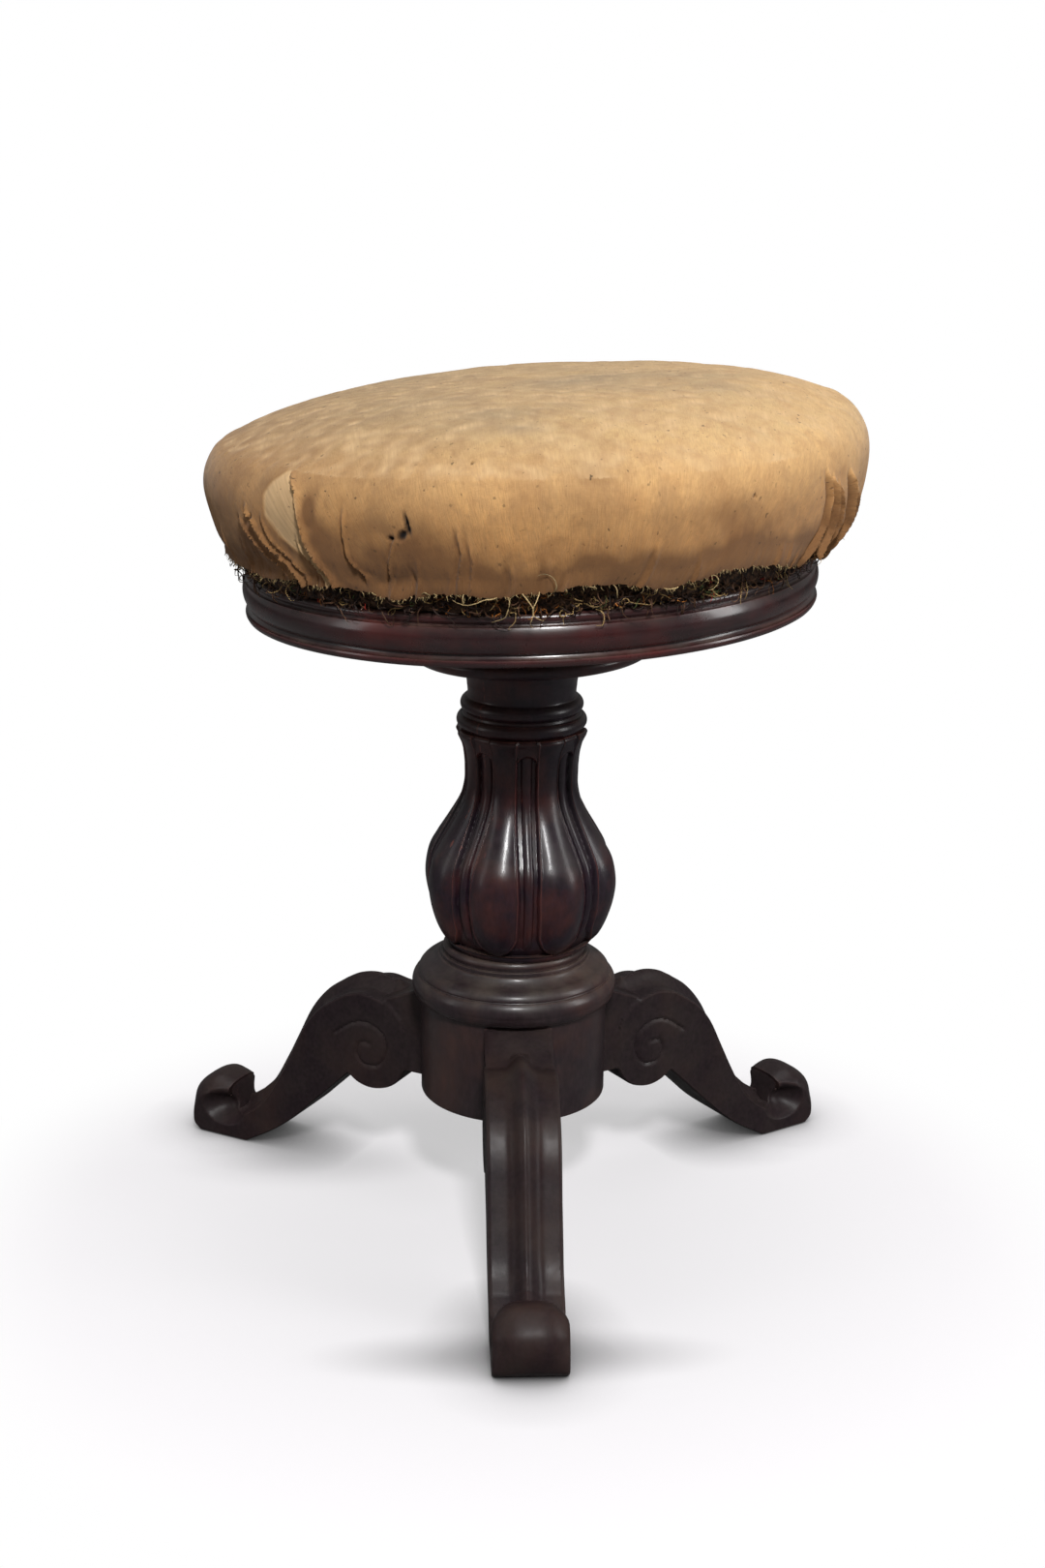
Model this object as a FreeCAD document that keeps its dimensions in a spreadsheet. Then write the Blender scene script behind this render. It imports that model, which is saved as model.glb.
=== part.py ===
"""Turned mahogany piano stool with a stuffed round seat on a lifting screw.

Millimetres, +Z up, floor at height 0. The front leg points along -Y. The origin is the middle
of the stool's overall width and depth, so the column stands a little behind it.
Profiles are drawn in the XZ plane: first the distance from the column's axis, then the height.
"""
import FreeCAD, Part
import math
import os
import re

import Sketcher
from FreeCAD import Placement, Rotation, Vector

# Driving dimensions. Heights are above the floor unless a comment says otherwise.
SIZES = {
    # Reach of a foot from the column's axis, and the rail that the seat's other sizes follow
    "foot_reach": 236.0,
    "rail_radius": 170.0,
    # Drum that carries the legs, and its collar moulding, whose heights add up from the drum
    "drum_base": 73.0,
    "drum_height": 64.0,
    "drum_radius": 57.5,
    "drum_edge": 1.5,
    "drum_flat": 54.0,
    "collar_radius": 59.5,
    "collar_lip_inset": 1.5,
    "collar_lip_height": 14.0,
    "collar_lip_round": 7.6,
    "collar_groove": 1.6,
    "collar_groove_inset": 3.5,
    "collar_slope_rise": 10.9,
    "collar_slope_radius": 49.0,
    "collar_slope_round": 17.0,
    "collar_fillet": 2.4,
    "collar_fillet_inset": 1.0,
    "collar_step": 1.6,
    "collar_step_inset": 3.5,
    "collar_cove": 4.0,
    "collar_cove_round": 4.2,
    # Tenon that joins the column to the drum
    "tenon_radius": 22.0,
    "tenon_length": 45.0,
    "glue_gap": 0.1,
    "end_play": 1.0,
    # The column stands a little to the right of the drum's middle
    "column_offset": 3.0,
    # Turned and carved column, whose heights add up from the drum
    "column_foot_radius": 43.0,
    "rim_radius": 46.5,
    "rim_rise": 5.0,
    "bulb_radius": 59.8,
    "bulb_rise": 38.5,
    "bulb_low_round": 61.0,
    "bulb_high_round": 35.5,
    "bulb_turn_radius": 48.4,
    "bulb_turn_rise": 25.5,
    "waist_radius": 34.8,
    "waist_rise": 40.5,
    "waist_low_round": 61.0,
    "waist_high_round": 62.0,
    "leaf_tip_radius": 38.9,
    "leaf_tip_rise": 24.0,
    "ring_gap": 2.0,
    "ring_low_radius": 35.6,
    "ring_low_height": 10.0,
    "ring_low_round": 5.8,
    "ring_groove": 3.5,
    "ring_groove_radius": 34.0,
    "ring_groove_slope": 1.0,
    "ring_high_radius": 34.0,
    "ring_high_height": 7.5,
    "ring_high_round": 4.4,
    "neck_radius": 33.0,
    "neck_rise": 20.0,
    "neck_round": 44.0,
    "column_top_radius": 38.0,
    "column_lip": 2.0,
    # Carved petals with a reed between each two
    "petal_count": 8,
    "petal_angle": 30.0,
    "petal_foot_radius": 49.5,
    "petal_foot_rise": 9.5,
    "reed_angle": 5.0,
    "channel_depth": 3.0,
    "reed_depth": 1.4,
    "carving_core_radius": 25.0,
    "carving_turn": 25.4,
    # Iron nut let into the column's top, and its wood screws
    "nut_barrel_radius": 17.0,
    "nut_barrel_length": 44.0,
    "nut_plate_radius": 27.0,
    "nut_plate_thickness": 3.0,
    "nut_screw_circle": 22.0,
    "nut_screw_count": 3,
    "nut_screw_length": 18.0,
    # Lifting screw
    "thread_radius": 12.0,
    "thread_root_radius": 9.6,
    "thread_pitch": 8.0,
    "thread_land": 3.6,
    "thread_play": 0.3,
    "thread_start": 0.2,
    "thread_flank": 0.5,
    "screw_point": 2.0,
    "lift": 88.0,
    "relief_radius": 15.0,
    "pin_half_length": 14.0,
    "pin_radius": 2.0,
    "pin_play": 1.0,
    "screw_tail": 6.0,
    "bore_floor": 6.0,
    # Leather washer and the screw's own collar above it
    "washer_radius": 19.0,
    "washer_thickness": 3.4,
    "bearing_play": 0.3,
    "spindle_collar_height": 6.0,
    "spindle_radius": 11.0,
    "rivet_radius": 9.0,
    "rivet_head_radius": 14.0,
    "rivet_head_height": 3.5,
    "rivet_head_slope": 2.0,
    "rivet_play": 1.2,
    # Seat: it sits askew and a little to the right on its worn screw
    "seat_clearance": 4.0,
    "seat_lean": 2.4,
    "seat_offset": 9.0,
    # Turned boss under the seat, heights above its own underside
    "boss_radius": 69.0,
    "boss_base_inset": 4.0,
    "boss_rim": 11.0,
    "boss_rim_round": 6.4,
    "boss_cove": 6.0,
    "boss_cove_round": 8.0,
    "boss_neck_radius": 58.0,
    "boss_bore_radius": 31.0,
    "boss_floor": 13.0,
    "boss_wall": 8.0,
    # Seat board, plate and rail, heights above the boss's underside
    "board_base": 33.0,
    "board_thickness": 20.0,
    "recess_play": 2.0,
    "plate_radius": 40.0,
    "plate_thickness": 5.0,
    "plate_screw_circle": 30.0,
    "plate_screw_count": 4,
    "plate_screw_length": 18.0,
    "wood_screw_radius": 2.3,
    "wood_screw_head_radius": 4.4,
    "wood_screw_head_height": 2.4,
    "rail_width": 20.0,
    "rail_base": 31.0,
    "rail_height": 30.0,
    "rail_low_inset": 2.0,
    "rail_low_bead": 5.5,
    "rail_low_round": 3.65,
    "rail_groove": 3.5,
    "rail_groove_floor": 1.0,
    "rail_groove_depth": 5.0,
    "rail_band": 14.5,
    "rail_band_base_inset": 3.0,
    "rail_band_top_inset": 2.0,
    "rail_band_round": 14.0,
    "rail_top_groove": 1.5,
    "rail_top_round": 3.6,
    "rail_top_inset": 3.0,
    # Upholstery: distances in or out from the rail's radius, and heights above the rail's top
    "tack_count": 24,
    "tack_inset": 10.0,
    "tack_radius": 0.9,
    "tack_length": 10.0,
    "tack_head_radius": 3.2,
    "tack_head_height": 1.2,
    "roll_inset": 11.5,
    "roll_radius": 8.0,
    "cloth_thickness": 1.5,
    "stuffing_gap": 0.3,
    "hem_overhang": 1.0,
    "hem_rise": 1.0,
    "cushion_overhang": 22.5,
    "cushion_widest": 49.0,
    "cushion_rise": 56.0,
    "shoulder_share": 0.66,
    # Scroll legs: distances from the column's axis or back from the foot's reach, and heights
    "leg_width": 43.0,
    "block_rise": 3.0,
    "block_drop": 3.5,
    "notch_reach": 67.0,
    "lobe_round": 26.0,
    "lobe_reach": 109.0,
    "lobe_height": 66.0,
    "under_round": 320.0,
    "sole_start_back": 47.0,
    "sole_end_back": 9.0,
    "sole_edge": 3.5,
    "hook_widest": 20.0,
    "hook_low_round": 27.0,
    "hook_high_round": 21.0,
    "hook_top_back": 20.0,
    "hook_top": 38.5,
    "hook_tip_round": 24.0,
    "hook_tip_back": 31.0,
    "hook_tip_height": 35.0,
    "hook_lip_back": 33.5,
    "hook_lip_height": 29.5,
    "hollow_back": 15.5,
    "hollow_height": 23.0,
    "hollow_high_round": 14.0,
    "hollow_low_round": 14.0,
    "hollow_base_back": 30.0,
    "hollow_base": 12.5,
    "web_width": 11.0,
    "web_radius": 12.5,
    "instep_round": 42.0,
    "instep_reach": 168.0,
    "instep_height": 47.0,
    "knee_reach": 141.0,
    "knee_height": 93.5,
    "knee_round": 46.0,
    "crest_reach": 97.0,
    "crest_height": 123.5,
    "heel_round": 60.0,
    "heel_reach": 84.0,
    "heel_height": 121.0,
    # Rounded rib along the top of a leg
    "rib_start_back": 14.0,
    "rib_root": 4.0,
    "rib_end_back": 44.0,
    "rib_end_height": 16.0,
    "rib_width": 20.0,
    "rib_height": 8.0,
    # Dowels between legs and drum
    "dowel_radius": 5.0,
    "dowel_length": 46.0,
    "dowel_low": 90.0,
    "dowel_high": 115.0,
}

LEG_ANGLES = {"front_leg": -90.0, "right_leg": 30.0, "left_leg": 150.0}
LEFT, RIGHT = 1, -1

doc = FreeCAD.newDocument("PianoStool")
parts = []


def make_sheet():
    sheet = doc.addObject("Spreadsheet::Sheet", "Sizes")
    for row, (name, size) in enumerate(SIZES.items(), start=1):
        sheet.set(f"A{row}", name)
        sheet.set(f"B{row}", str(size))
        sheet.setAlias(f"B{row}", name)
    doc.recompute()
    return sheet


sheet = make_sheet()
probe = doc.addObject("App::FeaturePython", "Probe")
NAME = re.compile(r"[a-z][a-z_]*")


def formula(text):
    """The expression for a formula over the sheet's names."""
    return NAME.sub(lambda found: "Sizes." + found.group() if found.group() in SIZES else found.group(), text)


def size(text):
    """The number that a formula over the sheet's names gives now."""
    return float(probe.evalExpression(formula(text)))


def bind(thing, field, text):
    thing.setExpression(field, formula(text))


def register(thing, label):
    thing.Label = label
    parts.append(thing)
    return thing


# The column's axis stands behind the middle of the overall depth
CUSHION_RADIUS = "(rail_radius + cushion_overhang)"
AXIS_Y = f"(foot_reach - {CUSHION_RADIUS}) / 2"

# Heights that add up from the drum's base
COLLAR_BASE = "(drum_base + drum_height)"
COLLAR_LIP_TOP = f"({COLLAR_BASE} + collar_lip_height)"
SLOPE_BASE = f"({COLLAR_LIP_TOP} + collar_groove)"
SLOPE_TOP = f"({SLOPE_BASE} + collar_slope_rise)"
FILLET_TOP = f"({SLOPE_TOP} + collar_fillet)"
COVE_BASE = f"({FILLET_TOP} + collar_step)"
SHOULDER = f"({COVE_BASE} + collar_cove)"
RIM = f"({SHOULDER} + rim_rise)"
PETAL_FOOT = f"({SHOULDER} + petal_foot_rise)"
BULB = f"({RIM} + bulb_rise)"
BULB_TURN = f"({BULB} + bulb_turn_rise)"
WAIST = f"({BULB_TURN} + waist_rise)"
LEAF_TIP = f"({WAIST} + leaf_tip_rise)"
RING_LOW_BASE = f"({LEAF_TIP} + ring_gap)"
RING_LOW_TOP = f"({RING_LOW_BASE} + ring_low_height)"
RING_HIGH_BASE = f"({RING_LOW_TOP} + ring_groove)"
RING_HIGH_TOP = f"({RING_HIGH_BASE} + ring_high_height)"
NECK_TOP = f"({RING_HIGH_TOP} + neck_rise)"
COLUMN_TOP = f"({NECK_TOP} + column_lip)"
SEAT_HEIGHT = f"({COLUMN_TOP} + seat_clearance)"


def place_on_axis(thing, height="0", angle=0.0, across="0"):
    spot = Vector(size(across), size(AXIS_Y), size(height))
    thing.Placement = Placement(spot, Rotation(Vector(0, 0, 1), angle))
    bind(thing, "Placement.Base.x", across)
    bind(thing, "Placement.Base.y", AXIS_Y)
    bind(thing, "Placement.Base.z", height)


def place_on_seat(thing):
    spot = Vector(size("seat_offset"), size(AXIS_Y), size(SEAT_HEIGHT))
    thing.Placement = Placement(spot, Rotation(Vector(0, -1, 0), size("seat_lean")))
    bind(thing, "Placement.Base.x", "seat_offset")
    bind(thing, "Placement.Base.y", AXIS_Y)
    bind(thing, "Placement.Base.z", SEAT_HEIGHT)
    bind(thing, "Placement.Rotation.Angle", "seat_lean")


def new_body(label):
    return register(doc.addObject("PartDesign::Body", label), label)


def plane_of(body, role):
    return next(item for item in body.Origin.OriginFeatures if item.Role == role)


def new_sketch(body, name, role="XZ_Plane", lift=None, turn=None):
    """A sketch on one of the body's planes, raised by a formula or turned about the body's Z."""
    sketch = body.newObject("Sketcher::SketchObject", name)
    sketch.AttachmentSupport = [(plane_of(body, role), "")]
    sketch.MapMode = "FlatFace"
    if turn is not None:
        sketch.AttachmentOffset = Placement(Vector(), Rotation(Vector(0, -1, 0), size(turn)))
        bind(sketch, "AttachmentOffset.Rotation.Angle", turn)
    if lift is not None:
        bind(sketch, "AttachmentOffset.Base.z", lift)
    return sketch


def pin_point(sketch, element, end, across, up):
    """Fixes one end of an element at the formulas across and up."""
    for kind, text, axis in (("DistanceX", across, -2), ("DistanceY", up, -1)):
        if text == "0":
            sketch.addConstraint(Sketcher.Constraint("PointOnObject", element, end, axis))
            continue
        index = sketch.addConstraint(Sketcher.Constraint(kind, -1, 1, element, end, size(text)))
        bind(sketch, f"Constraints[{index}]", text)


def arc_between(start, finish, radius, side):
    """An anticlockwise arc that bulges to the left or right of the way from start to finish."""
    chord = finish - start
    across = Vector(-chord.y, chord.x, 0).normalize() * side
    radius = max(radius, chord.Length / 2 * 1.0001)
    rise = radius - math.sqrt(radius ** 2 - chord.Length ** 2 / 4)
    middle = (start + finish) / 2 + across * rise
    ends = (start, finish) if side == RIGHT else (finish, start)
    return Part.Arc(ends[0], middle, ends[1])


def draw(sketch, outline, closed=True):
    """Draws an outline: each point is (across, up) or (across, up, radius, side of the arc to it)."""
    points = [Vector(size(point[0]), size(point[1]), 0) for point in outline]
    legs = list(range(1, len(points))) + ([0] if closed else [])
    ends = []
    for place in legs:
        start, finish = points[place - 1], points[place]
        if len(outline[place]) == 2:
            element = sketch.addGeometry(Part.LineSegment(start, finish))
            ends.append((element, 1, 2))
            continue
        _, _, radius, side = outline[place]
        arc = arc_between(start, finish, size(radius), side)
        element = sketch.addGeometry(arc)
        ends.append((element, 1, 2) if side == RIGHT else (element, 2, 1))
        index = sketch.addConstraint(Sketcher.Constraint("Radius", element, size(radius)))
        bind(sketch, f"Constraints[{index}]", radius)
    pairs = list(zip(ends, ends[1:])) + ([(ends[-1], ends[0])] if closed else [])
    for before, after in pairs:
        sketch.addConstraint(Sketcher.Constraint("Coincident", before[0], before[2], after[0], after[1]))
    for (element, first, last), place in zip(ends, legs):
        pin_point(sketch, element, first, *outline[place - 1][:2])
        if not closed and place == legs[-1]:
            pin_point(sketch, element, last, *outline[place][:2])


def circle(sketch, across, up, radius):
    middle = Vector(size(across), size(up), 0)
    element = sketch.addGeometry(Part.Circle(middle, Vector(0, 0, 1), size(radius)))
    pin_point(sketch, element, 3, across, up)
    index = sketch.addConstraint(Sketcher.Constraint("Radius", element, size(radius)))
    bind(sketch, f"Constraints[{index}]", radius)


def revolve(body, name, outline, kind="PartDesign::Revolution"):
    sketch = new_sketch(body, name + "_profile")
    draw(sketch, outline)
    turned = body.newObject(kind, name)
    turned.Profile = sketch
    turned.ReferenceAxis = (sketch, ["V_Axis"])
    turned.Angle = 360
    doc.recompute()
    return turned


def pocket(body, name, sketch, depth, upwards=False):
    cut = body.newObject("PartDesign::Pocket", name)
    cut.Profile = sketch
    cut.Type = "Length"
    cut.Reversed = upwards
    bind(cut, "Length", depth)
    doc.recompute()
    return cut


def ring_of(body, name, feature, count):
    """Repeats a feature evenly round the body's Z axis."""
    pattern = body.newObject("PartDesign::PolarPattern", name)
    pattern.Originals = feature if isinstance(feature, list) else [feature]
    pattern.Axis = (plane_of(body, "Z_Axis"), [""])
    pattern.Angle = 360
    bind(pattern, "Occurrences", count)
    body.Tip = pattern
    doc.recompute()
    return pattern


def rod(name, radius, length, across="0", base="0"):
    """A plain cylinder along Z."""
    solid = doc.addObject("Part::Cylinder", name)
    bind(solid, "Radius", radius)
    bind(solid, "Height", length)
    solid.Placement.Base = Vector(size(across), 0, size(base))
    bind(solid, "Placement.Base.x", across)
    bind(solid, "Placement.Base.z", base)
    return solid


def wood_screw(name, head, tip_length, across, height):
    """A countersunk screw along Z, its head's flat face at the height; head is 1 upwards, -1 down."""
    cone = doc.addObject("Part::Cone", name + "_head")
    bind(cone, "Radius1", "wood_screw_head_radius" if head < 0 else "wood_screw_radius")
    bind(cone, "Radius2", "wood_screw_radius" if head < 0 else "wood_screw_head_radius")
    bind(cone, "Height", "wood_screw_head_height")
    low = height if head < 0 else f"{height} - wood_screw_head_height"
    bind(cone, "Placement.Base.x", across)
    bind(cone, "Placement.Base.z", low)
    base = height if head < 0 else f"{height} - {tip_length}"
    shank = rod(name + "_shank", "wood_screw_radius", tip_length, across, base)
    joined = doc.addObject("Part::Fuse", name)
    joined.Base = cone
    joined.Tool = shank
    return joined


def group(label, solids):
    bundle = doc.addObject("Part::Compound", label)
    bundle.Links = solids
    return register(bundle, label)


def make_drum():
    body = new_body("leg_drum")
    revolve(body, "drum", [
        ("0", "drum_base"),
        ("drum_radius - drum_edge", "drum_base"),
        ("drum_radius", "drum_base + drum_edge"),
        ("drum_radius", COLLAR_BASE),
        ("collar_radius", COLLAR_BASE),
        ("collar_radius - collar_lip_inset", COLLAR_LIP_TOP, "collar_lip_round", RIGHT),
        ("collar_radius - collar_groove_inset", f"{COLLAR_LIP_TOP} + collar_groove / 2"),
        ("collar_radius - collar_groove_inset", SLOPE_BASE),
        ("collar_slope_radius", SLOPE_TOP, "collar_slope_round", RIGHT),
        ("collar_slope_radius - collar_fillet_inset", SLOPE_TOP),
        ("collar_slope_radius - collar_fillet_inset", FILLET_TOP),
        ("collar_slope_radius - collar_step_inset", FILLET_TOP),
        ("collar_slope_radius - collar_step_inset", COVE_BASE),
        ("column_foot_radius", SHOULDER, "collar_cove_round", RIGHT),
        ("0", SHOULDER),
    ])
    socket = new_sketch(body, "socket_circle", "XY_Plane", SHOULDER)
    circle(socket, "0", "column_offset", "tenon_radius + glue_gap")
    pocket(body, "socket", socket, "tenon_length + end_play")
    flat = new_sketch(body, "flat_outline", "XY_Plane", "drum_base - end_play")
    draw(flat, [
        ("drum_flat", "-leg_width"),
        ("drum_flat * 2", "-leg_width"),
        ("drum_flat * 2", "leg_width"),
        ("drum_flat", "leg_width"),
    ])
    flats = pocket(body, "flat", flat, "drum_height - end_play", upwards=True)
    holes = new_sketch(body, "dowel_circles", "YZ_Plane", "drum_flat - dowel_length / 2 - end_play")
    circle(holes, "0", "dowel_low", "dowel_radius + glue_gap")
    circle(holes, "0", "dowel_high", "dowel_radius + glue_gap")
    sockets = pocket(body, "sockets", holes, "dowel_length", upwards=True)
    ring_of(body, "leg_seats", [flats, sockets], "3")
    place_on_axis(body, angle=-90.0)
    return body


def baluster(depth):
    """The outline of the bulb and waist, cut in by a depth."""
    return [
        (f"bulb_radius - {depth}", BULB, f"bulb_low_round - {depth}", RIGHT),
        (f"bulb_turn_radius - {depth}", BULB_TURN, f"bulb_high_round - {depth}", RIGHT),
        (f"waist_radius - {depth}", WAIST, f"waist_low_round + {depth}", LEFT),
        (f"leaf_tip_radius - {depth}", LEAF_TIP, f"waist_high_round + {depth}", LEFT),
    ]


def make_column():
    body = new_body("column")
    barrel = "nut_barrel_radius + glue_gap"
    plate_floor = f"{COLUMN_TOP} - nut_plate_thickness"
    barrel_floor = f"{plate_floor} - nut_barrel_length - glue_gap"
    screw_floor = f"{plate_floor} - nut_barrel_length - lift - pin_play - screw_tail - bore_floor"
    revolve(body, "turning", [
        ("0", f"{SHOULDER} - tenon_length"),
        ("tenon_radius", f"{SHOULDER} - tenon_length"),
        ("tenon_radius", SHOULDER),
        ("column_foot_radius", SHOULDER),
        ("rim_radius", RIM, "rim_rise", RIGHT),
        *baluster("channel_depth"),
        ("leaf_tip_radius - channel_depth", RING_LOW_BASE),
        ("ring_low_radius", RING_LOW_BASE),
        ("ring_low_radius", RING_LOW_TOP, "ring_low_round", RIGHT),
        ("ring_groove_radius", f"{RING_LOW_TOP} + ring_groove_slope"),
        ("ring_groove_radius", f"{RING_HIGH_BASE} - ring_groove_slope"),
        ("ring_high_radius", RING_HIGH_BASE),
        ("ring_high_radius", RING_HIGH_TOP, "ring_high_round", RIGHT),
        ("neck_radius", f"{RING_HIGH_TOP} + ring_groove_slope"),
        ("column_top_radius", NECK_TOP, "neck_round", LEFT),
        ("column_top_radius", COLUMN_TOP),
        ("nut_plate_radius + glue_gap", COLUMN_TOP),
        ("nut_plate_radius + glue_gap", plate_floor),
        (barrel, plate_floor),
        (barrel, barrel_floor),
        ("relief_radius", barrel_floor),
        ("relief_radius", screw_floor),
        ("0", screw_floor),
    ])
    pilot = new_sketch(body, "pilot_circle", "XY_Plane", plate_floor)
    circle(pilot, "nut_screw_circle", "0", "wood_screw_radius + glue_gap")
    pilots = pocket(body, "pilot", pilot, "nut_screw_length")
    ring_of(body, "pilots", pilots, "nut_screw_count")
    carve(body, "petal", "0", "petal_angle", "carving_turn")
    carve(body, "reed", "(channel_depth - reed_depth)", "reed_angle", "carving_turn + 180 / petal_count")
    place_on_axis(body, across="column_offset")
    return body


def carve(body, name, depth, width, turn):
    """Raises one carved strip over the turned core, and repeats it round the column."""
    profile = new_sketch(body, name + "_outline", turn=turn)
    first, *rest = baluster(depth)
    draw(profile, [
        ("carving_core_radius", PETAL_FOOT),
        (f"petal_foot_radius - {depth}", PETAL_FOOT),
        first,
        *rest,
        ("carving_core_radius", LEAF_TIP),
    ])
    strip = body.newObject("PartDesign::Revolution", name)
    strip.Profile = profile
    strip.ReferenceAxis = (profile, ["V_Axis"])
    strip.Midplane = True
    bind(strip, "Angle", width)
    doc.recompute()
    ring_of(body, name + "s", strip, "petal_count")


def make_nut():
    body = new_body("screw_nut")
    bore = "thread_radius + thread_play"
    top = COLUMN_TOP
    floor = f"{COLUMN_TOP} - nut_plate_thickness"
    revolve(body, "nut_turning", [
        (bore, floor + " - nut_barrel_length"),
        ("nut_barrel_radius", floor + " - nut_barrel_length"),
        ("nut_barrel_radius", floor),
        ("nut_plate_radius", floor),
        ("nut_plate_radius", top),
        (bore, top),
    ])
    sink = new_sketch(body, "screw_seat", "XZ_Plane")
    draw(sink, [
        ("nut_screw_circle", top),
        ("nut_screw_circle", floor),
        ("nut_screw_circle + wood_screw_radius + glue_gap", floor),
        ("nut_screw_circle + wood_screw_radius + glue_gap", top + " - wood_screw_head_height"),
        ("nut_screw_circle + wood_screw_head_radius + glue_gap", top),
    ])
    edge = new_sketch(body, "screw_axis", "XZ_Plane")
    draw(edge, [("nut_screw_circle", floor), ("nut_screw_circle", top)], closed=False)
    seat = body.newObject("PartDesign::Groove", "countersink")
    seat.Profile = sink
    seat.ReferenceAxis = (edge, ["Edge1"])
    seat.Angle = 360
    doc.recompute()
    ring_of(body, "countersinks", seat, "nut_screw_count")
    place_on_axis(body, across="column_offset")
    return body


def make_nut_screws():
    count = int(size("nut_screw_count"))
    screws = []
    for place in range(count):
        screw = wood_screw(f"nut_screw_{place}", 1, "nut_screw_length", "nut_screw_circle", "0")
        angle = 360.0 / count * place
        screw.Placement.Rotation = Rotation(Vector(0, 0, 1), angle)
        screws.append(screw)
    bundle = group("nut_screws", screws)
    place_on_axis(bundle, COLUMN_TOP, across="column_offset")
    return bundle


LEG_OUTLINE = [
    ("drum_flat", "drum_base + block_rise"),
    ("notch_reach", "drum_base + block_rise"),
    ("lobe_reach", "lobe_height", "lobe_round", RIGHT),
    ("foot_reach - sole_start_back", "0", "under_round", RIGHT),
    ("foot_reach - sole_end_back", "0"),
    ("foot_reach - sole_end_back + sole_edge", "sole_edge"),
    ("foot_reach", "hook_widest", "hook_low_round", RIGHT),
    ("foot_reach - hook_top_back", "hook_top", "hook_high_round", RIGHT),
    ("foot_reach - hook_tip_back", "hook_tip_height", "hook_tip_round", RIGHT),
    ("foot_reach - hook_lip_back", "hook_lip_height"),
    ("foot_reach - hollow_back", "hollow_height", "hollow_high_round", LEFT),
    ("foot_reach - hollow_base_back", "hollow_base", "hollow_low_round", LEFT),
    ("instep_reach", "instep_height", "instep_round", LEFT),
    ("knee_reach", "knee_height"),
    ("crest_reach", "crest_height", "knee_round", RIGHT),
    ("heel_reach", "heel_height", "heel_round", RIGHT),
    ("drum_flat", f"{COLLAR_BASE} - block_drop"),
]


def make_leg(label):
    """A sawn leg with a rib along its top, and a thin web that closes the hook's hollow in its middle."""
    body = new_body(label)
    outline = new_sketch(body, "side")
    draw(outline, LEG_OUTLINE)
    slab = body.newObject("PartDesign::Pad", "slab")
    slab.Profile = outline
    slab.SideType = "Symmetric"
    bind(slab, "Length", "leg_width")
    doc.recompute()
    path = new_sketch(body, "rib_path")
    draw(path, [
        ("heel_reach - rib_start_back", "crest_height"),
        ("crest_reach", "crest_height"),
        ("knee_reach", "knee_height", "knee_round", LEFT),
        ("instep_reach", "instep_height"),
        ("foot_reach - rib_end_back", "rib_end_height", "instep_round", RIGHT),
    ], closed=False)
    section = new_sketch(body, "rib_section", "YZ_Plane", "heel_reach - rib_start_back")
    draw(section, [
        ("-rib_width / 2", "crest_height - rib_root"),
        ("rib_width / 2", "crest_height - rib_root"),
        ("rib_width / 2", "crest_height"),
        ("-rib_width / 2", "crest_height", "(rib_width ^ 2 / 4 + rib_height ^ 2) / (2 * rib_height)", RIGHT),
    ])
    rib = body.newObject("PartDesign::AdditivePipe", "rib")
    rib.Profile = section
    rib.Spine = (path, [])
    doc.recompute()
    disc = new_sketch(body, "web_circle")
    circle(disc, "foot_reach - (hollow_back + hollow_base_back) / 2", "hollow_height", "web_radius")
    web = body.newObject("PartDesign::Pad", "web")
    web.Profile = disc
    web.SideType = "Symmetric"
    bind(web, "Length", "web_width")
    doc.recompute()
    holes = new_sketch(body, "dowel_circles", "YZ_Plane", "drum_flat")
    circle(holes, "0", "dowel_low", "dowel_radius + glue_gap")
    circle(holes, "0", "dowel_high", "dowel_radius + glue_gap")
    pocket(body, "sockets", holes, "dowel_length / 2 + end_play", upwards=True)
    place_on_axis(body, angle=LEG_ANGLES[label])
    return body


def make_dowels():
    dowels = []
    for leg, angle in LEG_ANGLES.items():
        for level in ("dowel_low", "dowel_high"):
            dowel = doc.addObject("Part::Cylinder", f"{leg}_{level}")
            way = Rotation(Vector(0, 0, 1), angle) * Rotation(Vector(0, 1, 0), 90)
            dowel.Placement = Placement(Vector(), way)
            bind(dowel, "Radius", "dowel_radius")
            bind(dowel, "Height", "dowel_length")
            start = "(drum_flat - dowel_length / 2)"
            bind(dowel, "Placement.Base.x", f"{start} * cos({angle} deg)")
            bind(dowel, "Placement.Base.y", f"{start} * sin({angle} deg)")
            bind(dowel, "Placement.Base.z", level)
            dowels.append(dowel)
    bundle = group("leg_dowels", dowels)
    place_on_axis(bundle)
    return bundle


PIN_DROP = "(nut_plate_thickness + nut_barrel_length + lift + pin_play + pin_radius)"


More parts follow.
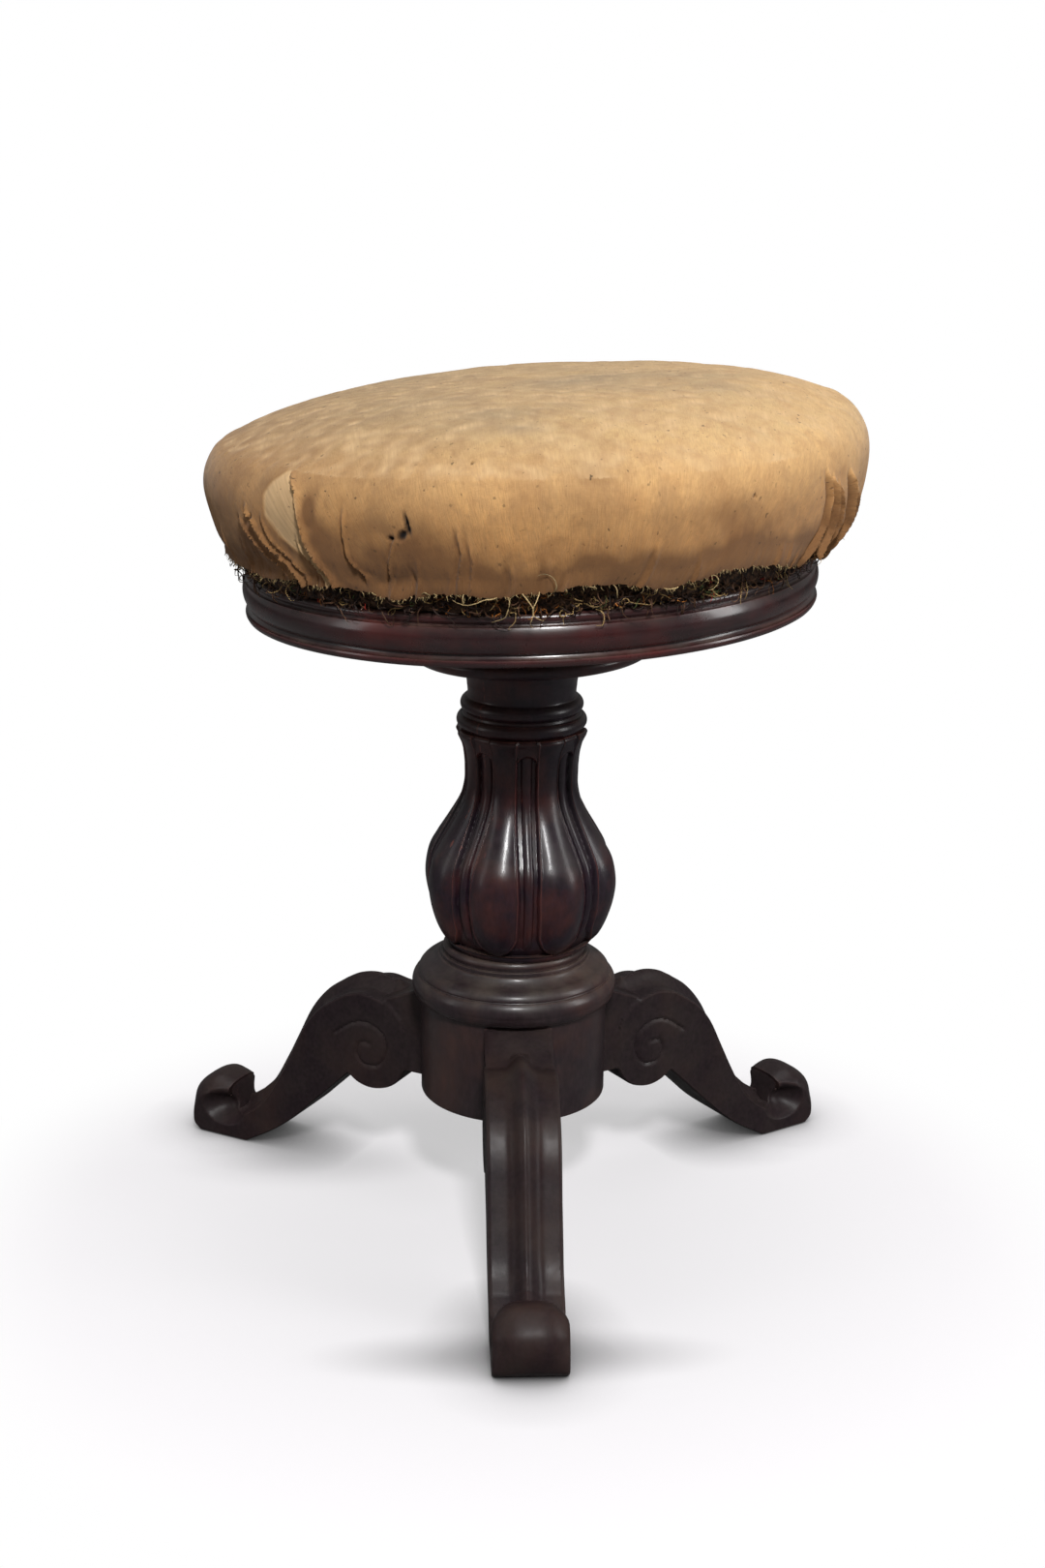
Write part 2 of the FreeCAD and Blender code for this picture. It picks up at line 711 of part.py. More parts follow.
def make_lifting_screw():
    """The spindle, drawn with heights above the column's top moved up by its own length."""
    body = new_body("lifting_screw")
    below = f"({PIN_DROP} + screw_tail)"
    start = f"{below} + bearing_play * 2 + washer_thickness"
    collar = f"{start} + spindle_collar_height"
    shoulder = f"{below} + seat_clearance + board_base - plate_thickness - rivet_play"
    head = f"{below} + seat_clearance + board_base + rivet_play / 2"
    revolve(body, "spindle", [
        ("0", "0"),
        ("thread_radius - screw_point", "0"),
        ("thread_radius", "screw_point"),
        ("thread_radius", start),
        ("washer_radius", start),
        ("washer_radius", collar),
        ("spindle_radius", collar),
        ("spindle_radius", shoulder),
        ("rivet_radius", shoulder),
        ("rivet_radius", head),
        ("rivet_head_radius", head),
        ("rivet_head_radius - rivet_head_slope", f"{head} + rivet_head_height"),
        ("0", f"{head} + rivet_head_height"),
    ])
    groove = new_sketch(body, "thread_profile")
    draw(groove, [
        ("thread_root_radius", "thread_start + thread_flank"),
        ("thread_radius + thread_flank * 2", "thread_start"),
        ("thread_radius + thread_flank * 2", "thread_start + thread_pitch - thread_land"),
        ("thread_root_radius", "thread_start + thread_pitch - thread_land - thread_flank"),
    ])
    thread = body.newObject("PartDesign::SubtractiveHelix", "thread")
    thread.Profile = groove
    thread.ReferenceAxis = (groove, ["V_Axis"])
    thread.Mode = "pitch-height-angle"
    bind(thread, "Pitch", "thread_pitch")
    bind(thread, "Height", f"{start} - thread_pitch * 1.5")
    doc.recompute()
    hole = new_sketch(body, "pin_hole", "XZ_Plane")
    circle(hole, "0", "screw_tail", "pin_radius + glue_gap / 2")
    cross = body.newObject("PartDesign::Pocket", "pin_bore")
    cross.Profile = hole
    cross.Type = "ThroughAll"
    cross.SideType = "Symmetric"
    doc.recompute()
    place_on_axis(body, f"{COLUMN_TOP} - {below}", across="column_offset")
    return body


def make_stop_pin():
    pin = doc.addObject("Part::Cylinder", "stop_pin")
    bind(pin, "Radius", "pin_radius")
    bind(pin, "Height", "pin_half_length * 2")
    pin.Placement = Placement(Vector(), Rotation(Vector(1, 0, 0), 90))
    bind(pin, "Placement.Base.x", "column_offset")
    bind(pin, "Placement.Base.y", f"{AXIS_Y} + pin_half_length")
    bind(pin, "Placement.Base.z", f"{COLUMN_TOP} - {PIN_DROP}")
    return register(pin, "stop_pin")


def make_washer():
    body = new_body("thrust_washer")
    revolve(body, "washer", [
        ("thread_radius + thread_play", "0"),
        ("washer_radius", "0"),
        ("washer_radius", "washer_thickness"),
        ("thread_radius + thread_play", "washer_thickness"),
    ])
    place_on_axis(body, f"{COLUMN_TOP} + bearing_play", across="column_offset")
    return body


# Where the screw's axis meets the seat's leaning pieces, across from the seat's own axis
SCREW_ACROSS = "(board_base * sin(seat_lean * 1 deg) - (seat_offset - column_offset) * cos(seat_lean * 1 deg))"
BOARD_RADIUS = "(rail_radius - rail_width)"
TACK_CIRCLE = "(rail_radius - tack_inset)"
ROLL_CIRCLE = "(rail_radius - roll_inset)"


def make_boss():
    body = new_body("seat_boss")
    revolve(body, "boss", [
        ("boss_bore_radius", "0"),
        ("boss_radius - boss_base_inset", "0"),
        ("boss_radius", "boss_rim", "boss_rim_round", RIGHT),
        ("boss_neck_radius", "boss_rim + boss_cove", "boss_cove_round", LEFT),
        ("boss_neck_radius", "board_base"),
        ("boss_neck_radius - boss_wall", "board_base"),
        ("boss_neck_radius - boss_wall", "boss_floor"),
        ("boss_bore_radius", "boss_floor"),
    ])
    place_on_seat(body)
    return body


def make_plate():
    body = new_body("screw_plate")
    disc = new_sketch(body, "disc_circle", "XY_Plane", "board_base - plate_thickness")
    circle(disc, SCREW_ACROSS, "0", "plate_radius")
    circle(disc, SCREW_ACROSS, "0", "rivet_radius + rivet_play / 2")
    slab = body.newObject("PartDesign::Pad", "disc")
    slab.Profile = disc
    bind(slab, "Length", "plate_thickness")
    doc.recompute()
    holes = new_sketch(body, "screw_circles", "XY_Plane", "board_base")
    for place in range(int(size("plate_screw_count"))):
        across, up = plate_screw_spot(place)
        circle(holes, across, up, "wood_screw_radius + glue_gap")
    pocket(body, "screw_holes", holes, "plate_thickness")
    place_on_seat(body)
    return body


def plate_screw_spot(place):
    angle = 45.0 + 360.0 / int(size("plate_screw_count")) * place
    across = f"{SCREW_ACROSS} + plate_screw_circle * cos({angle} deg)"
    return across, f"plate_screw_circle * sin({angle} deg)"


def make_plate_screws():
    """Round-headed screws driven up through the plate into the board."""
    screws = []
    for place in range(int(size("plate_screw_count"))):
        across, up = plate_screw_spot(place)
        low = "board_base - plate_thickness"
        head = doc.addObject("Part::Cone", f"plate_screw_head_{place}")
        bind(head, "Radius1", "wood_screw_head_radius * 0.6")
        bind(head, "Radius2", "wood_screw_head_radius")
        bind(head, "Height", "wood_screw_head_height")
        bind(head, "Placement.Base.z", f"{low} - wood_screw_head_height")
        shank = rod(f"plate_screw_shank_{place}", "wood_screw_radius", "plate_screw_length", "0", low)
        screw = doc.addObject("Part::Fuse", f"plate_screw_{place}")
        screw.Base = head
        screw.Tool = shank
        bind(screw, "Placement.Base.x", across)
        bind(screw, "Placement.Base.y", up)
        screws.append(screw)
    bundle = group("plate_screws", screws)
    place_on_seat(bundle)
    return bundle


def make_board():
    body = new_body("seat_board")
    disc = new_sketch(body, "board_circle", "XY_Plane", "board_base")
    circle(disc, "0", "0", BOARD_RADIUS)
    slab = body.newObject("PartDesign::Pad", "board")
    slab.Profile = disc
    bind(slab, "Length", "board_thickness")
    doc.recompute()
    cuts = new_sketch(body, "recess_circle", "XY_Plane", "board_base")
    circle(cuts, SCREW_ACROSS, "0", "rivet_head_radius + recess_play")
    pocket(body, "recess", cuts, "rivet_head_height + rivet_play * 2", upwards=True)
    holes = new_sketch(body, "pilot_circles", "XY_Plane", "board_base")
    for place in range(int(size("plate_screw_count"))):
        circle(holes, *plate_screw_spot(place), "wood_screw_radius + glue_gap")
    pocket(body, "pilots", holes, "plate_screw_length - plate_thickness + end_play", upwards=True)
    place_on_seat(body)
    return body


RAIL_TOP = "(rail_base + rail_height)"


def make_rail():
    body = new_body("seat_rail")
    inner = f"{BOARD_RADIUS} + glue_gap"
    bead = "rail_base + rail_low_bead"
    band = bead + " + rail_groove"
    crown = band + " + rail_band"
    revolve(body, "rail", [
        (inner, "rail_base"),
        ("rail_radius - rail_low_inset", "rail_base"),
        ("rail_radius - rail_low_inset", bead, "rail_low_round", RIGHT),
        ("rail_radius - rail_groove_depth", bead + " + rail_groove_floor"),
        ("rail_radius - rail_band_base_inset", band),
        ("rail_radius - rail_band_top_inset", crown, "rail_band_round", RIGHT),
        ("rail_radius - rail_groove_depth", crown + " + rail_top_groove"),
        ("rail_radius - rail_top_inset", crown + " + rail_top_groove * 1.5"),
        ("rail_radius - rail_top_inset", RAIL_TOP, "rail_top_round", RIGHT),
        (inner, RAIL_TOP),
    ])
    hole = new_sketch(body, "tack_hole", "XY_Plane", RAIL_TOP)
    circle(hole, TACK_CIRCLE, "0", "tack_radius + glue_gap / 2")
    bore = pocket(body, "tack_bore", hole, "tack_length")
    ring_of(body, "tack_bores", bore, "tack_count")
    place_on_seat(body)
    return body


def make_tacks():
    count = int(size("tack_count"))
    tacks = []
    for place in range(count):
        angle = 360.0 / count * place
        head = doc.addObject("Part::Cone", f"tack_head_{place}")
        bind(head, "Radius1", "tack_head_radius")
        bind(head, "Radius2", "tack_head_radius * 0.5")
        bind(head, "Height", "tack_head_height")
        bind(head, "Placement.Base.z", RAIL_TOP)
        shank = rod(f"tack_shank_{place}", "tack_radius", "tack_length", "0", RAIL_TOP + " - tack_length")
        tack = doc.addObject("Part::Fuse", f"tack_{place}")
        tack.Base = head
        tack.Tool = shank
        bind(tack, "Placement.Base.x", f"{TACK_CIRCLE} * cos({angle} deg)")
        bind(tack, "Placement.Base.y", f"{TACK_CIRCLE} * sin({angle} deg)")
        tacks.append(tack)
    bundle = group("cover_tacks", tacks)
    place_on_seat(bundle)
    return bundle


# The cushion's section: a lower arc from the hem, a shoulder arc, and a wide crown arc
HEM = f"({RAIL_TOP} + hem_rise)"
WIDEST = f"({RAIL_TOP} + cushion_widest)"
CROWN = f"({WIDEST} + cushion_rise)"
HEM_DEPTH = "(cushion_overhang - hem_overhang)"
HEM_FALL = "(cushion_widest - hem_rise)"
LOWER_ROUND = f"(({HEM_DEPTH} ^ 2 + {HEM_FALL} ^ 2) / (2 * {HEM_DEPTH}))"
SHOULDER_ROUND = "(cushion_rise * shoulder_share)"
SHOULDER_MIDDLE = f"({CUSHION_RADIUS} - {SHOULDER_ROUND})"
CROWN_ROUND = (f"(({SHOULDER_MIDDLE} ^ 2 + cushion_rise ^ 2 - {SHOULDER_ROUND} ^ 2)"
               f" / (2 * (cushion_rise - {SHOULDER_ROUND})))")
CROWN_SHARE = f"({SHOULDER_MIDDLE} / ({CROWN_ROUND} - {SHOULDER_ROUND}))"
CROWN_RISE = f"sqrt(1 - {CROWN_SHARE} ^ 2)"


def cushion_arcs(inset):
    """The outline from the widest point up to the crown, moved inwards by a formula."""
    joint_across = f"{SHOULDER_MIDDLE} + ({SHOULDER_ROUND} - {inset}) * {CROWN_SHARE}"
    joint_up = f"{WIDEST} + ({SHOULDER_ROUND} - {inset}) * {CROWN_RISE}"
    return [
        (joint_across, joint_up, f"{SHOULDER_ROUND} - {inset}", RIGHT),
        ("0", f"{CROWN} - {inset}", f"{CROWN_ROUND} - {inset}", RIGHT),
    ]


def lower_across(inset, up):
    """How far out the lower arc is at a height, moved inwards by a formula."""
    round_ = f"({LOWER_ROUND} - {inset})"
    return f"{CUSHION_RADIUS} - {LOWER_ROUND} + sqrt({round_} ^ 2 - ({WIDEST} - {up}) ^ 2)"


def make_cover():
    body = new_body("seat_cover")
    inner = "cloth_thickness"
    revolve(body, "cloth", [
        ("0", HEM),
        ("rail_radius + hem_overhang", HEM),
        (CUSHION_RADIUS, WIDEST, LOWER_ROUND, RIGHT),
        *cushion_arcs("0"),
    ])
    revolve(body, "inside", [
        ("0", HEM),
        (lower_across(inner, HEM), HEM),
        (f"{CUSHION_RADIUS} - {inner}", WIDEST, f"{LOWER_ROUND} - {inner}", RIGHT),
        *cushion_arcs(inner),
    ], "PartDesign::Groove")
    place_on_seat(body)
    return body


def make_roll():
    ring = doc.addObject("Part::Torus", "roll_ring")
    bind(ring, "Radius1", ROLL_CIRCLE)
    bind(ring, "Radius2", "roll_radius")
    holder = doc.addObject("Part::Compound", "edge_roll")
    holder.Links = [ring]
    bind(ring, "Placement.Base.z", f"{RAIL_TOP} + tack_head_height + roll_radius + stuffing_gap")
    register(holder, "edge_roll")
    place_on_seat(holder)
    return holder


def make_stuffing():
    body = new_body("stuffing")
    inset = "(cloth_thickness + stuffing_gap)"
    board_top = "board_base + board_thickness + stuffing_gap"
    roll_inside = f"{ROLL_CIRCLE} - roll_radius - stuffing_gap * 4"
    roll_top = f"({RAIL_TOP} + tack_head_height + roll_radius * 2 + stuffing_gap * 2)"
    revolve(body, "fibre", [
        ("0", board_top),
        (roll_inside, board_top),
        (roll_inside, roll_top),
        (lower_across(inset, roll_top), roll_top),
        (f"{CUSHION_RADIUS} - {inset}", WIDEST, f"{LOWER_ROUND} - {inset}", RIGHT),
        *cushion_arcs(inset),
    ])
    place_on_seat(body)
    return body


def check_and_write():
    doc.recompute()
    failed = [thing.Label for thing in doc.Objects if {"Invalid", "Error"} & set(thing.State)]
    if failed:
        raise RuntimeError(f"these objects failed: {failed}")
    os.makedirs("parts", exist_ok=True)
    for thing in parts:
        shape = thing.Shape
        if shape.isNull() or not shape.isValid():
            raise RuntimeError(f"{thing.Label} has no valid shape")
        box = shape.BoundBox
        print(f"{thing.Label}: {len(shape.Solids)} solids, {shape.Volume:.1f} mm3, "
              f"x {box.XMin:.2f} {box.XMax:.2f}, y {box.YMin:.2f} {box.YMax:.2f}, z {box.ZMin:.2f} {box.ZMax:.2f}")
        shape.exportStep(os.path.join("parts", thing.Label + ".step"))


make_drum()
make_column()
make_nut()
make_nut_screws()
for leg in LEG_ANGLES:
    make_leg(leg)
make_dowels()
make_washer()
make_lifting_screw()
make_stop_pin()
make_boss()
make_plate()
make_plate_screws()
make_board()
make_rail()
make_tacks()
make_roll()
make_stuffing()
make_cover()
check_and_write()
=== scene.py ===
"""Looks of the piano stool: polished and worn mahogany, and a torn cotton cover over curled horsehair.

Sizes are in millimetres in the column's, a leg's or the seat's own frame, and become metres when a mesh
is made.
"""

import math

import bpy
import numpy as np
from mathutils import Matrix, Vector


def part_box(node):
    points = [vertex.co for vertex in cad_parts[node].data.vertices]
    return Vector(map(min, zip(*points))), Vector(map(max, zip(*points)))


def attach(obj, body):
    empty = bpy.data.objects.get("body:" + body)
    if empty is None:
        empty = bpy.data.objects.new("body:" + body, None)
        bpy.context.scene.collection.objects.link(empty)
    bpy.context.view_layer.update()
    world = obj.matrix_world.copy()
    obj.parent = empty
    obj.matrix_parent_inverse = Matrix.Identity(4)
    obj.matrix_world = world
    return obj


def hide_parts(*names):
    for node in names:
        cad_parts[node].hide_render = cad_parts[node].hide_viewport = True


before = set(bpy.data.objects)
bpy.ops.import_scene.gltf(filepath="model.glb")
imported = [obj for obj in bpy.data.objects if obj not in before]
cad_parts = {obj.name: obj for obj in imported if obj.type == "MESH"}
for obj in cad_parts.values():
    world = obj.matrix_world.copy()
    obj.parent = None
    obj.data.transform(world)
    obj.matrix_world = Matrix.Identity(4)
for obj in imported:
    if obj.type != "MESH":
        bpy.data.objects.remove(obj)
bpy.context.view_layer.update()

MM = 0.001
DRAWS = np.random.default_rng(1874)

# Places that the solids share
FOOT_REACH = 236.0
COLUMN_OFFSET = 3.0
LEG_WIDTH = 43.0
AXIS_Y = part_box("front_leg")[0].y / MM + FOOT_REACH
SEAT_LEAN = math.radians(2.4)
SEAT_OFFSET = 9.0
SEAT_HEIGHT = 354.0
RAIL_BASE = 31.0
RAIL_TOP = 61.0
LEG_ANGLES = {"front_leg": -90.0, "right_leg": 30.0, "left_leg": 150.0}
LEFT, RIGHT = 1, -1

# The photograph's camera, found from the ellipses of the rail and the drum
PHOTO_HEIGHT_PX = 1620
FOCAL_PX = 2400
SENSOR = 36.0
CAMERA_DISTANCE = 1352.0
CAMERA_HEIGHT = 680.0
CAMERA_SIDE = math.radians(3.0)
CAMERA_PAN = math.radians(0.17)
CAMERA_PITCH = math.radians(16.8)
CAMERA_ROLL = math.radians(0.7)

# An arc's radius is at least this times half its chord
ARC_SLACK = 1.0001
LEAST_ARC_STEPS = 3
# How much longer than an arc's the steps of a straight are
STRAIGHT_STEP = 3
# The field that holds each kind of value which a mesh stores for its points
LAYER_FIELDS = {"FLOAT": "value", "FLOAT_COLOR": "color", "FLOAT_VECTOR": "vector"}


def seat_matrix():
    """From the seat's own upright frame to the stool's, in metres."""
    place = Matrix.Translation(Vector((SEAT_OFFSET, AXIS_Y, SEAT_HEIGHT)) * MM)
    return place @ Matrix.Rotation(SEAT_LEAN, 4, Vector((0, -1, 0))) @ Matrix.Scale(MM, 4)


def drum_matrix(across=0.0):
    return Matrix.Translation(Vector((across, AXIS_Y, 0)) * MM) @ Matrix.Scale(MM, 4)


def leg_matrix(angle):
    return drum_matrix() @ Matrix.Rotation(math.radians(angle), 4, "Z")


def make_object(name, mesh, matrix, material, body, slot, *nodes):
    """Puts a mesh in place on its body, with its material, where it stands for nodes of the solids."""
    thing = bpy.data.objects.new(name, mesh)
    bpy.context.scene.collection.objects.link(thing)
    mesh.transform(matrix)
    mesh.materials.append(material)
    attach(thing, body)
    for node in nodes:
        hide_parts(node)
    return thing


def unit(vectors):
    return vectors / np.maximum(np.linalg.norm(vectors, axis=-1), 1e-9)[..., None]


def polar(reach, turn, height):
    """Points at reaches and heights, turned about Z by angles in radians."""
    return np.stack(np.broadcast_arrays(reach * np.cos(turn), reach * np.sin(turn), height), axis=-1)


def grid_faces(rows, columns):
    """Quads between rows of points, closed round the columns."""
    row, column = (part.ravel() for part in np.indices((rows - 1, columns)))
    above, beside = row + 1, (column + 1) % columns
    return np.stack([row * columns + column, row * columns + beside,
                     above * columns + beside, above * columns + column], axis=1)


def end_fans(rows, columns):
    """Triangles from the first and the last row to two more points that follow all rows."""
    around = np.arange(columns)
    beside = (around + 1) % columns
    last, middle = (rows - 1) * columns, rows * columns
    first_fan = np.stack([around, beside, np.full(columns, middle)], axis=1)
    last_fan = np.stack([beside + last, around + last, np.full(columns, middle + 1)], axis=1)
    return first_fan, last_fan


def mesh_from(name, points, faces, sharp=40.0):
    """A mesh from an array of points and a list of arrays of faces, smooth but for its sharp edges."""
    mesh = bpy.data.meshes.new(name)
    listed = [face for group in faces for face in group.tolist()]
    mesh.from_pydata(np.asarray(points, float).reshape(-1, 3).tolist(), [], listed)
    mesh.update()
    mesh.validate()
    mesh.shade_smooth()
    mesh.set_sharp_from_angle(angle=math.radians(sharp))
    return mesh


def closed_mesh(name, points, sharp):
    """A mesh of rings of points, closed at its first and last ring."""
    rows, columns = points.shape[:2]
    ends = np.stack([points[0].mean(axis=0), points[-1].mean(axis=0)])
    return mesh_from(name, np.concatenate([points.reshape(-1, 3), ends]),
                     [grid_faces(rows, columns)[:, ::-1], *end_fans(rows, columns)], sharp)


def add_layer(mesh, name, kind, values):
    """Stores a number, a colour or a place for each point, which a material reads."""
    layer = mesh.attributes.new(name, kind, "POINT")
    layer.data.foreach_set(LAYER_FIELDS[kind], np.ascontiguousarray(values, np.float32).ravel())


def arc_points(start, finish, radius, side, spacing):
    """Points of an arc that bulges left or right of the way from start to finish, without the start."""
    start, finish = np.array(start, float), np.array(finish, float)
    chord = finish - start
    length = np.linalg.norm(chord)
    radius = max(radius, length / 2 * ARC_SLACK)
    across = np.array([-chord[1], chord[0]]) / length * side
    centre = (start + finish) / 2 - across * math.sqrt(radius ** 2 - length ** 2 / 4)
    first, last = (math.atan2(*(end - centre)[::-1]) for end in (start, finish))
    turn = (last - first + math.pi) % (2 * math.pi) - math.pi
    count = max(LEAST_ARC_STEPS, int(abs(turn) * radius / spacing))
    angles = first + turn * np.arange(1, count + 1) / count
    return centre + radius * np.stack([np.cos(angles), np.sin(angles)], axis=1)


def outline(steps, spacing):
    """Points along an outline of (across, up) corners and (across, up, radius, side) arcs."""
    points = [np.array([steps[0][:2]], float)]
    for before, step in zip(steps, steps[1:]):
        if len(step) == 4:
            points.append(arc_points(before[:2], step[:2], step[2], step[3], spacing))
            continue
        ends = np.array([before[:2], step[:2]], float)
        count = max(1, int(np.linalg.norm(ends[1] - ends[0]) / (spacing * STRAIGHT_STEP)))
        share = np.arange(1, count + 1)[:, None] / count
        points.append(ends[0] + (ends[1] - ends[0]) * share)
    return np.concatenate(points)


def smooth_line(points, steps):
    """A smooth line through points, with a number of steps for each span."""
    points = np.array(points, float)
    ends = np.concatenate([[2 * points[0] - points[1]], points, [2 * points[-1] - points[-2]]])
    line = [points[:1]]
    for span in range(len(points) - 1):
        a, b, c, d = ends[span:span + 4]
        t = (np.arange(1, steps + 1) / steps)[:, None]
        line.append(0.5 * (2 * b + (c - a) * t + (2 * a - 5 * b + 4 * c - d) * t ** 2
                           + (3 * b - a - 3 * c + d) * t ** 3))
    return np.concatenate(line)


def soft_step(value, low, high):
    share = np.clip((value - low) / (high - low), 0, 1)
    return share * share * (3 - 2 * share)


def unevenness(points, count, low, high, size):
    """Seeded slow waves through the points' places, for wear and unevenness."""
    ways = DRAWS.uniform(-1, 1, (count, 3)) * DRAWS.uniform(low, high, (count, 1))
    phases = DRAWS.uniform(0, 2 * math.pi, count)
    sizes = DRAWS.uniform(0.3, 1, count) * size
    return (np.sin(points @ ways.T + phases) * sizes).sum(axis=-1) / math.sqrt(count)


def make_turned(node, line, matrix, material, body, slot, columns, spacing=0.8, wobble=0.12, cut=None):
    """A turned piece: an outline revolved about Z, slightly uneven as old turning is."""
    profile = outline(line, spacing)
    angles = np.arange(columns) * 2 * math.pi / columns
    points = polar(profile[:, :1], angles, profile[:, 1:])
    points += polar(unevenness(points, 24, 0.02, 0.16, wobble), angles, 0)
    if cut is not None:
        points = cut(points)
    mesh = mesh_from(node + "_turned", points, [grid_faces(len(profile), columns)])
    make_object(node + "_turned", mesh, matrix, material, body, slot, node)


# Materials


class Tree:
    """Short words for making nodes."""

    def __init__(self, tree):
        self.tree = tree

    def add(self, kind, **settings):
        node = self.tree.nodes.new(kind)
        for field, value in settings.items():
            if field in node.inputs:
                self.feed(value, node.inputs[field])
            else:
                setattr(node, field, value)
        return node

    def feed(self, value, socket):
        if isinstance(value, bpy.types.NodeSocket):
            self.tree.links.new(value, socket)
        else:
            socket.default_value = value

    def maths(self, operation, first, second):
        node = self.add("ShaderNodeMath", operation=operation)
        self.feed(first, node.inputs[0])
        self.feed(second, node.inputs[1])
        return node.outputs[0]

    def distance(self, first, second):
        node = self.add("ShaderNodeVectorMath", operation="DISTANCE")
        self.feed(first, node.inputs[0])
        self.feed(second, node.inputs[1])
        return node.outputs["Value"]

    def spread(self, value, source=(0, 1), target=(0, 1), way="LINEAR"):
        """A value carried over from one range to another."""
        node = self.add("ShaderNodeMapRange", Value=value, interpolation_type=way)
        for field, number in zip(("From Min", "From Max", "To Min", "To Max"), (*source, *target)):
            node.inputs[field].default_value = number
        return node.outputs["Result"]


class Nodes(Tree):
    """A material's nodes."""

    def __init__(self, name):
        self.material = bpy.data.materials.new(name)
        self.material.use_nodes = True
        super().__init__(self.material.node_tree)
        self.shader = self.tree.nodes["Principled BSDF"]
        self.place = self.add("ShaderNodeTexCoord").outputs["Object"]

    def set(self, field, value):
        self.feed(value, self.shader.inputs[field])

    def stretched(self, scale, place=None):
        node = self.add("ShaderNodeMapping", Vector=place or self.place, Scale=scale)
        return node.outputs["Vector"]

    def noise(self, scale, detail, rough=0.55, place=None, distortion=0.0):
        node = self.add("ShaderNodeTexNoise", Vector=place or self.place, Scale=scale, Detail=detail,
                        Roughness=rough, Distortion=distortion)
        return node.outputs["Fac"]

    def ramp(self, value, stops):
        """A value turned into greys: stops are (position, grey)."""
        node = self.add("ShaderNodeValToRGB", Fac=value)
        ramp = node.color_ramp
        while len(ramp.elements) < len(stops):
            ramp.elements.new(0.5)
        for element, (position, grey) in zip(ramp.elements, stops):
            element.position = position
            element.color = (grey, grey, grey, 1)
        return node.outputs["Color"]

    def mix(self, share, first, second):
        node = self.add("ShaderNodeMix", data_type="RGBA")
        self.feed(share, node.inputs[0])
        for value, socket in ((first, node.inputs[6]), (second, node.inputs[7])):
            self.feed((*value, 1) if isinstance(value, tuple) else value, socket)
        return node.outputs[2]

    def attribute(self, name, output="Fac"):
        return self.add("ShaderNodeAttribute", attribute_name=name).outputs[output]

    def bump(self, height, strength, distance, normal=None):
        node = self.add("ShaderNodeBump", Height=height, Strength=strength, Distance=distance)
        if normal is not None:
            self.feed(normal, node.inputs["Normal"])
        return node.outputs["Normal"]


DUST = (0.16, 0.135, 0.1)
# How much lighter than the dark grain its lighter streaks are, and worn edges than the warm wood
STREAK_LIGHT, EDGE_LIGHT, EDGE_GREY = 1.7, 1.6, 0.012


def polished_wood(name, dark, warm, warm_share, gloss, dust, coat, along, settled, pore=0.06, shine=0.45):
    """Old french polish: near-black grain, warmer where the polish is worn, grey dust in places."""
    made = Nodes(name)
    grain = made.noise(95, 7, 0.62, made.stretched(along), 0.6)
    streaks = made.noise(420, 3, 0.5, made.stretched(along))
    fibres = made.mix(made.ramp(streaks, [(0.35, 0.0), (0.7, 1.0)]), dark,
                      tuple(part * STREAK_LIGHT for part in dark))
    patches = [(0.58 - warm_share * 0.25, 0.0), (0.8 - warm_share * 0.2, 1.0)]
    share = made.maths("MULTIPLY", made.ramp(grain, [(0.3, 0.35), (0.7, 1.0)]),
                       made.ramp(made.noise(17, 5), patches))
    colour = made.mix(share, fibres, warm)
    edges = made.add("ShaderNodeNewGeometry").outputs["Pointiness"]
    worn = made.maths("MULTIPLY", made.ramp(edges, [(0.515, 0.0), (0.56, 1.0)]),
                      made.ramp(made.noise(60, 4), [(0.35, 0.15), (0.65, 1.0)]))
    colour = made.mix(made.maths("MULTIPLY", worn, 0.55), colour,
                      tuple(part * EDGE_LIGHT + EDGE_GREY for part in warm))
    facing = made.add("ShaderNodeSeparateXYZ", Vector=made.add("ShaderNodeNewGeometry").outputs["Normal"])
    upward = made.ramp(facing.outputs["Z"], [(0.15, 0.0), (0.75, settled)])
    dusty = made.maths("MULTIPLY", made.ramp(made.noise(33, 6, 0.65), [(0.38, 0.1), (0.74, 1.0)]),
                       made.maths("ADD", upward, dust))
    made.set("Base Color", made.mix(dusty, colour, DUST))
    rough = made.ramp(made.noise(48, 6, 0.6), [(0.25, gloss * 0.75), (0.8, gloss * 1.5)])
    made.set("Roughness", made.maths("ADD", rough, made.maths("MULTIPLY", dusty, 0.5)))
    made.set("Coat Weight", coat)
    made.set("Coat Roughness", gloss * 0.55)
    made.set("Specular IOR Level", shine)
    pores = made.noise(900, 2, 0.5, made.stretched(along))
    dents = made.noise(26, 3, 0.5)
    made.set("Normal", made.bump(dents, 0.35, 0.0012, made.bump(pores, pore, 0.0004)))
    return made.material


def plain_wood(name, light, dark):
    made = Nodes(name)
    grain = made.noise(60, 6, 0.6, made.stretched((0.15, 1, 1)), 0.8)
    made.set("Base Color", made.mix(made.ramp(grain, [(0.35, 0.0), (0.7, 1.0)]), light, dark))
    made.set("Roughness", made.ramp(made.noise(300, 3), [(0.3, 0.62), (0.7, 0.85)]))
    made.set("Normal", made.bump(grain, 0.3, 0.0006))
    return made.material


def old_metal(name, clean, rust, rough):
    made = Nodes(name)
    patches = made.noise(140, 6, 0.65)
    made.set("Base Color", made.mix(made.ramp(patches, [(0.45, 0.0), (0.65, 1.0)]), clean, rust))
    made.set("Metallic", made.ramp(patches, [(0.45, 0.95), (0.65, 0.35)]))
    made.set("Roughness", made.ramp(patches, [(0.4, rough), (0.7, rough + 0.3)]))
    made.set("Normal", made.bump(made.noise(600, 4), 0.25, 0.0003))
    return made.material


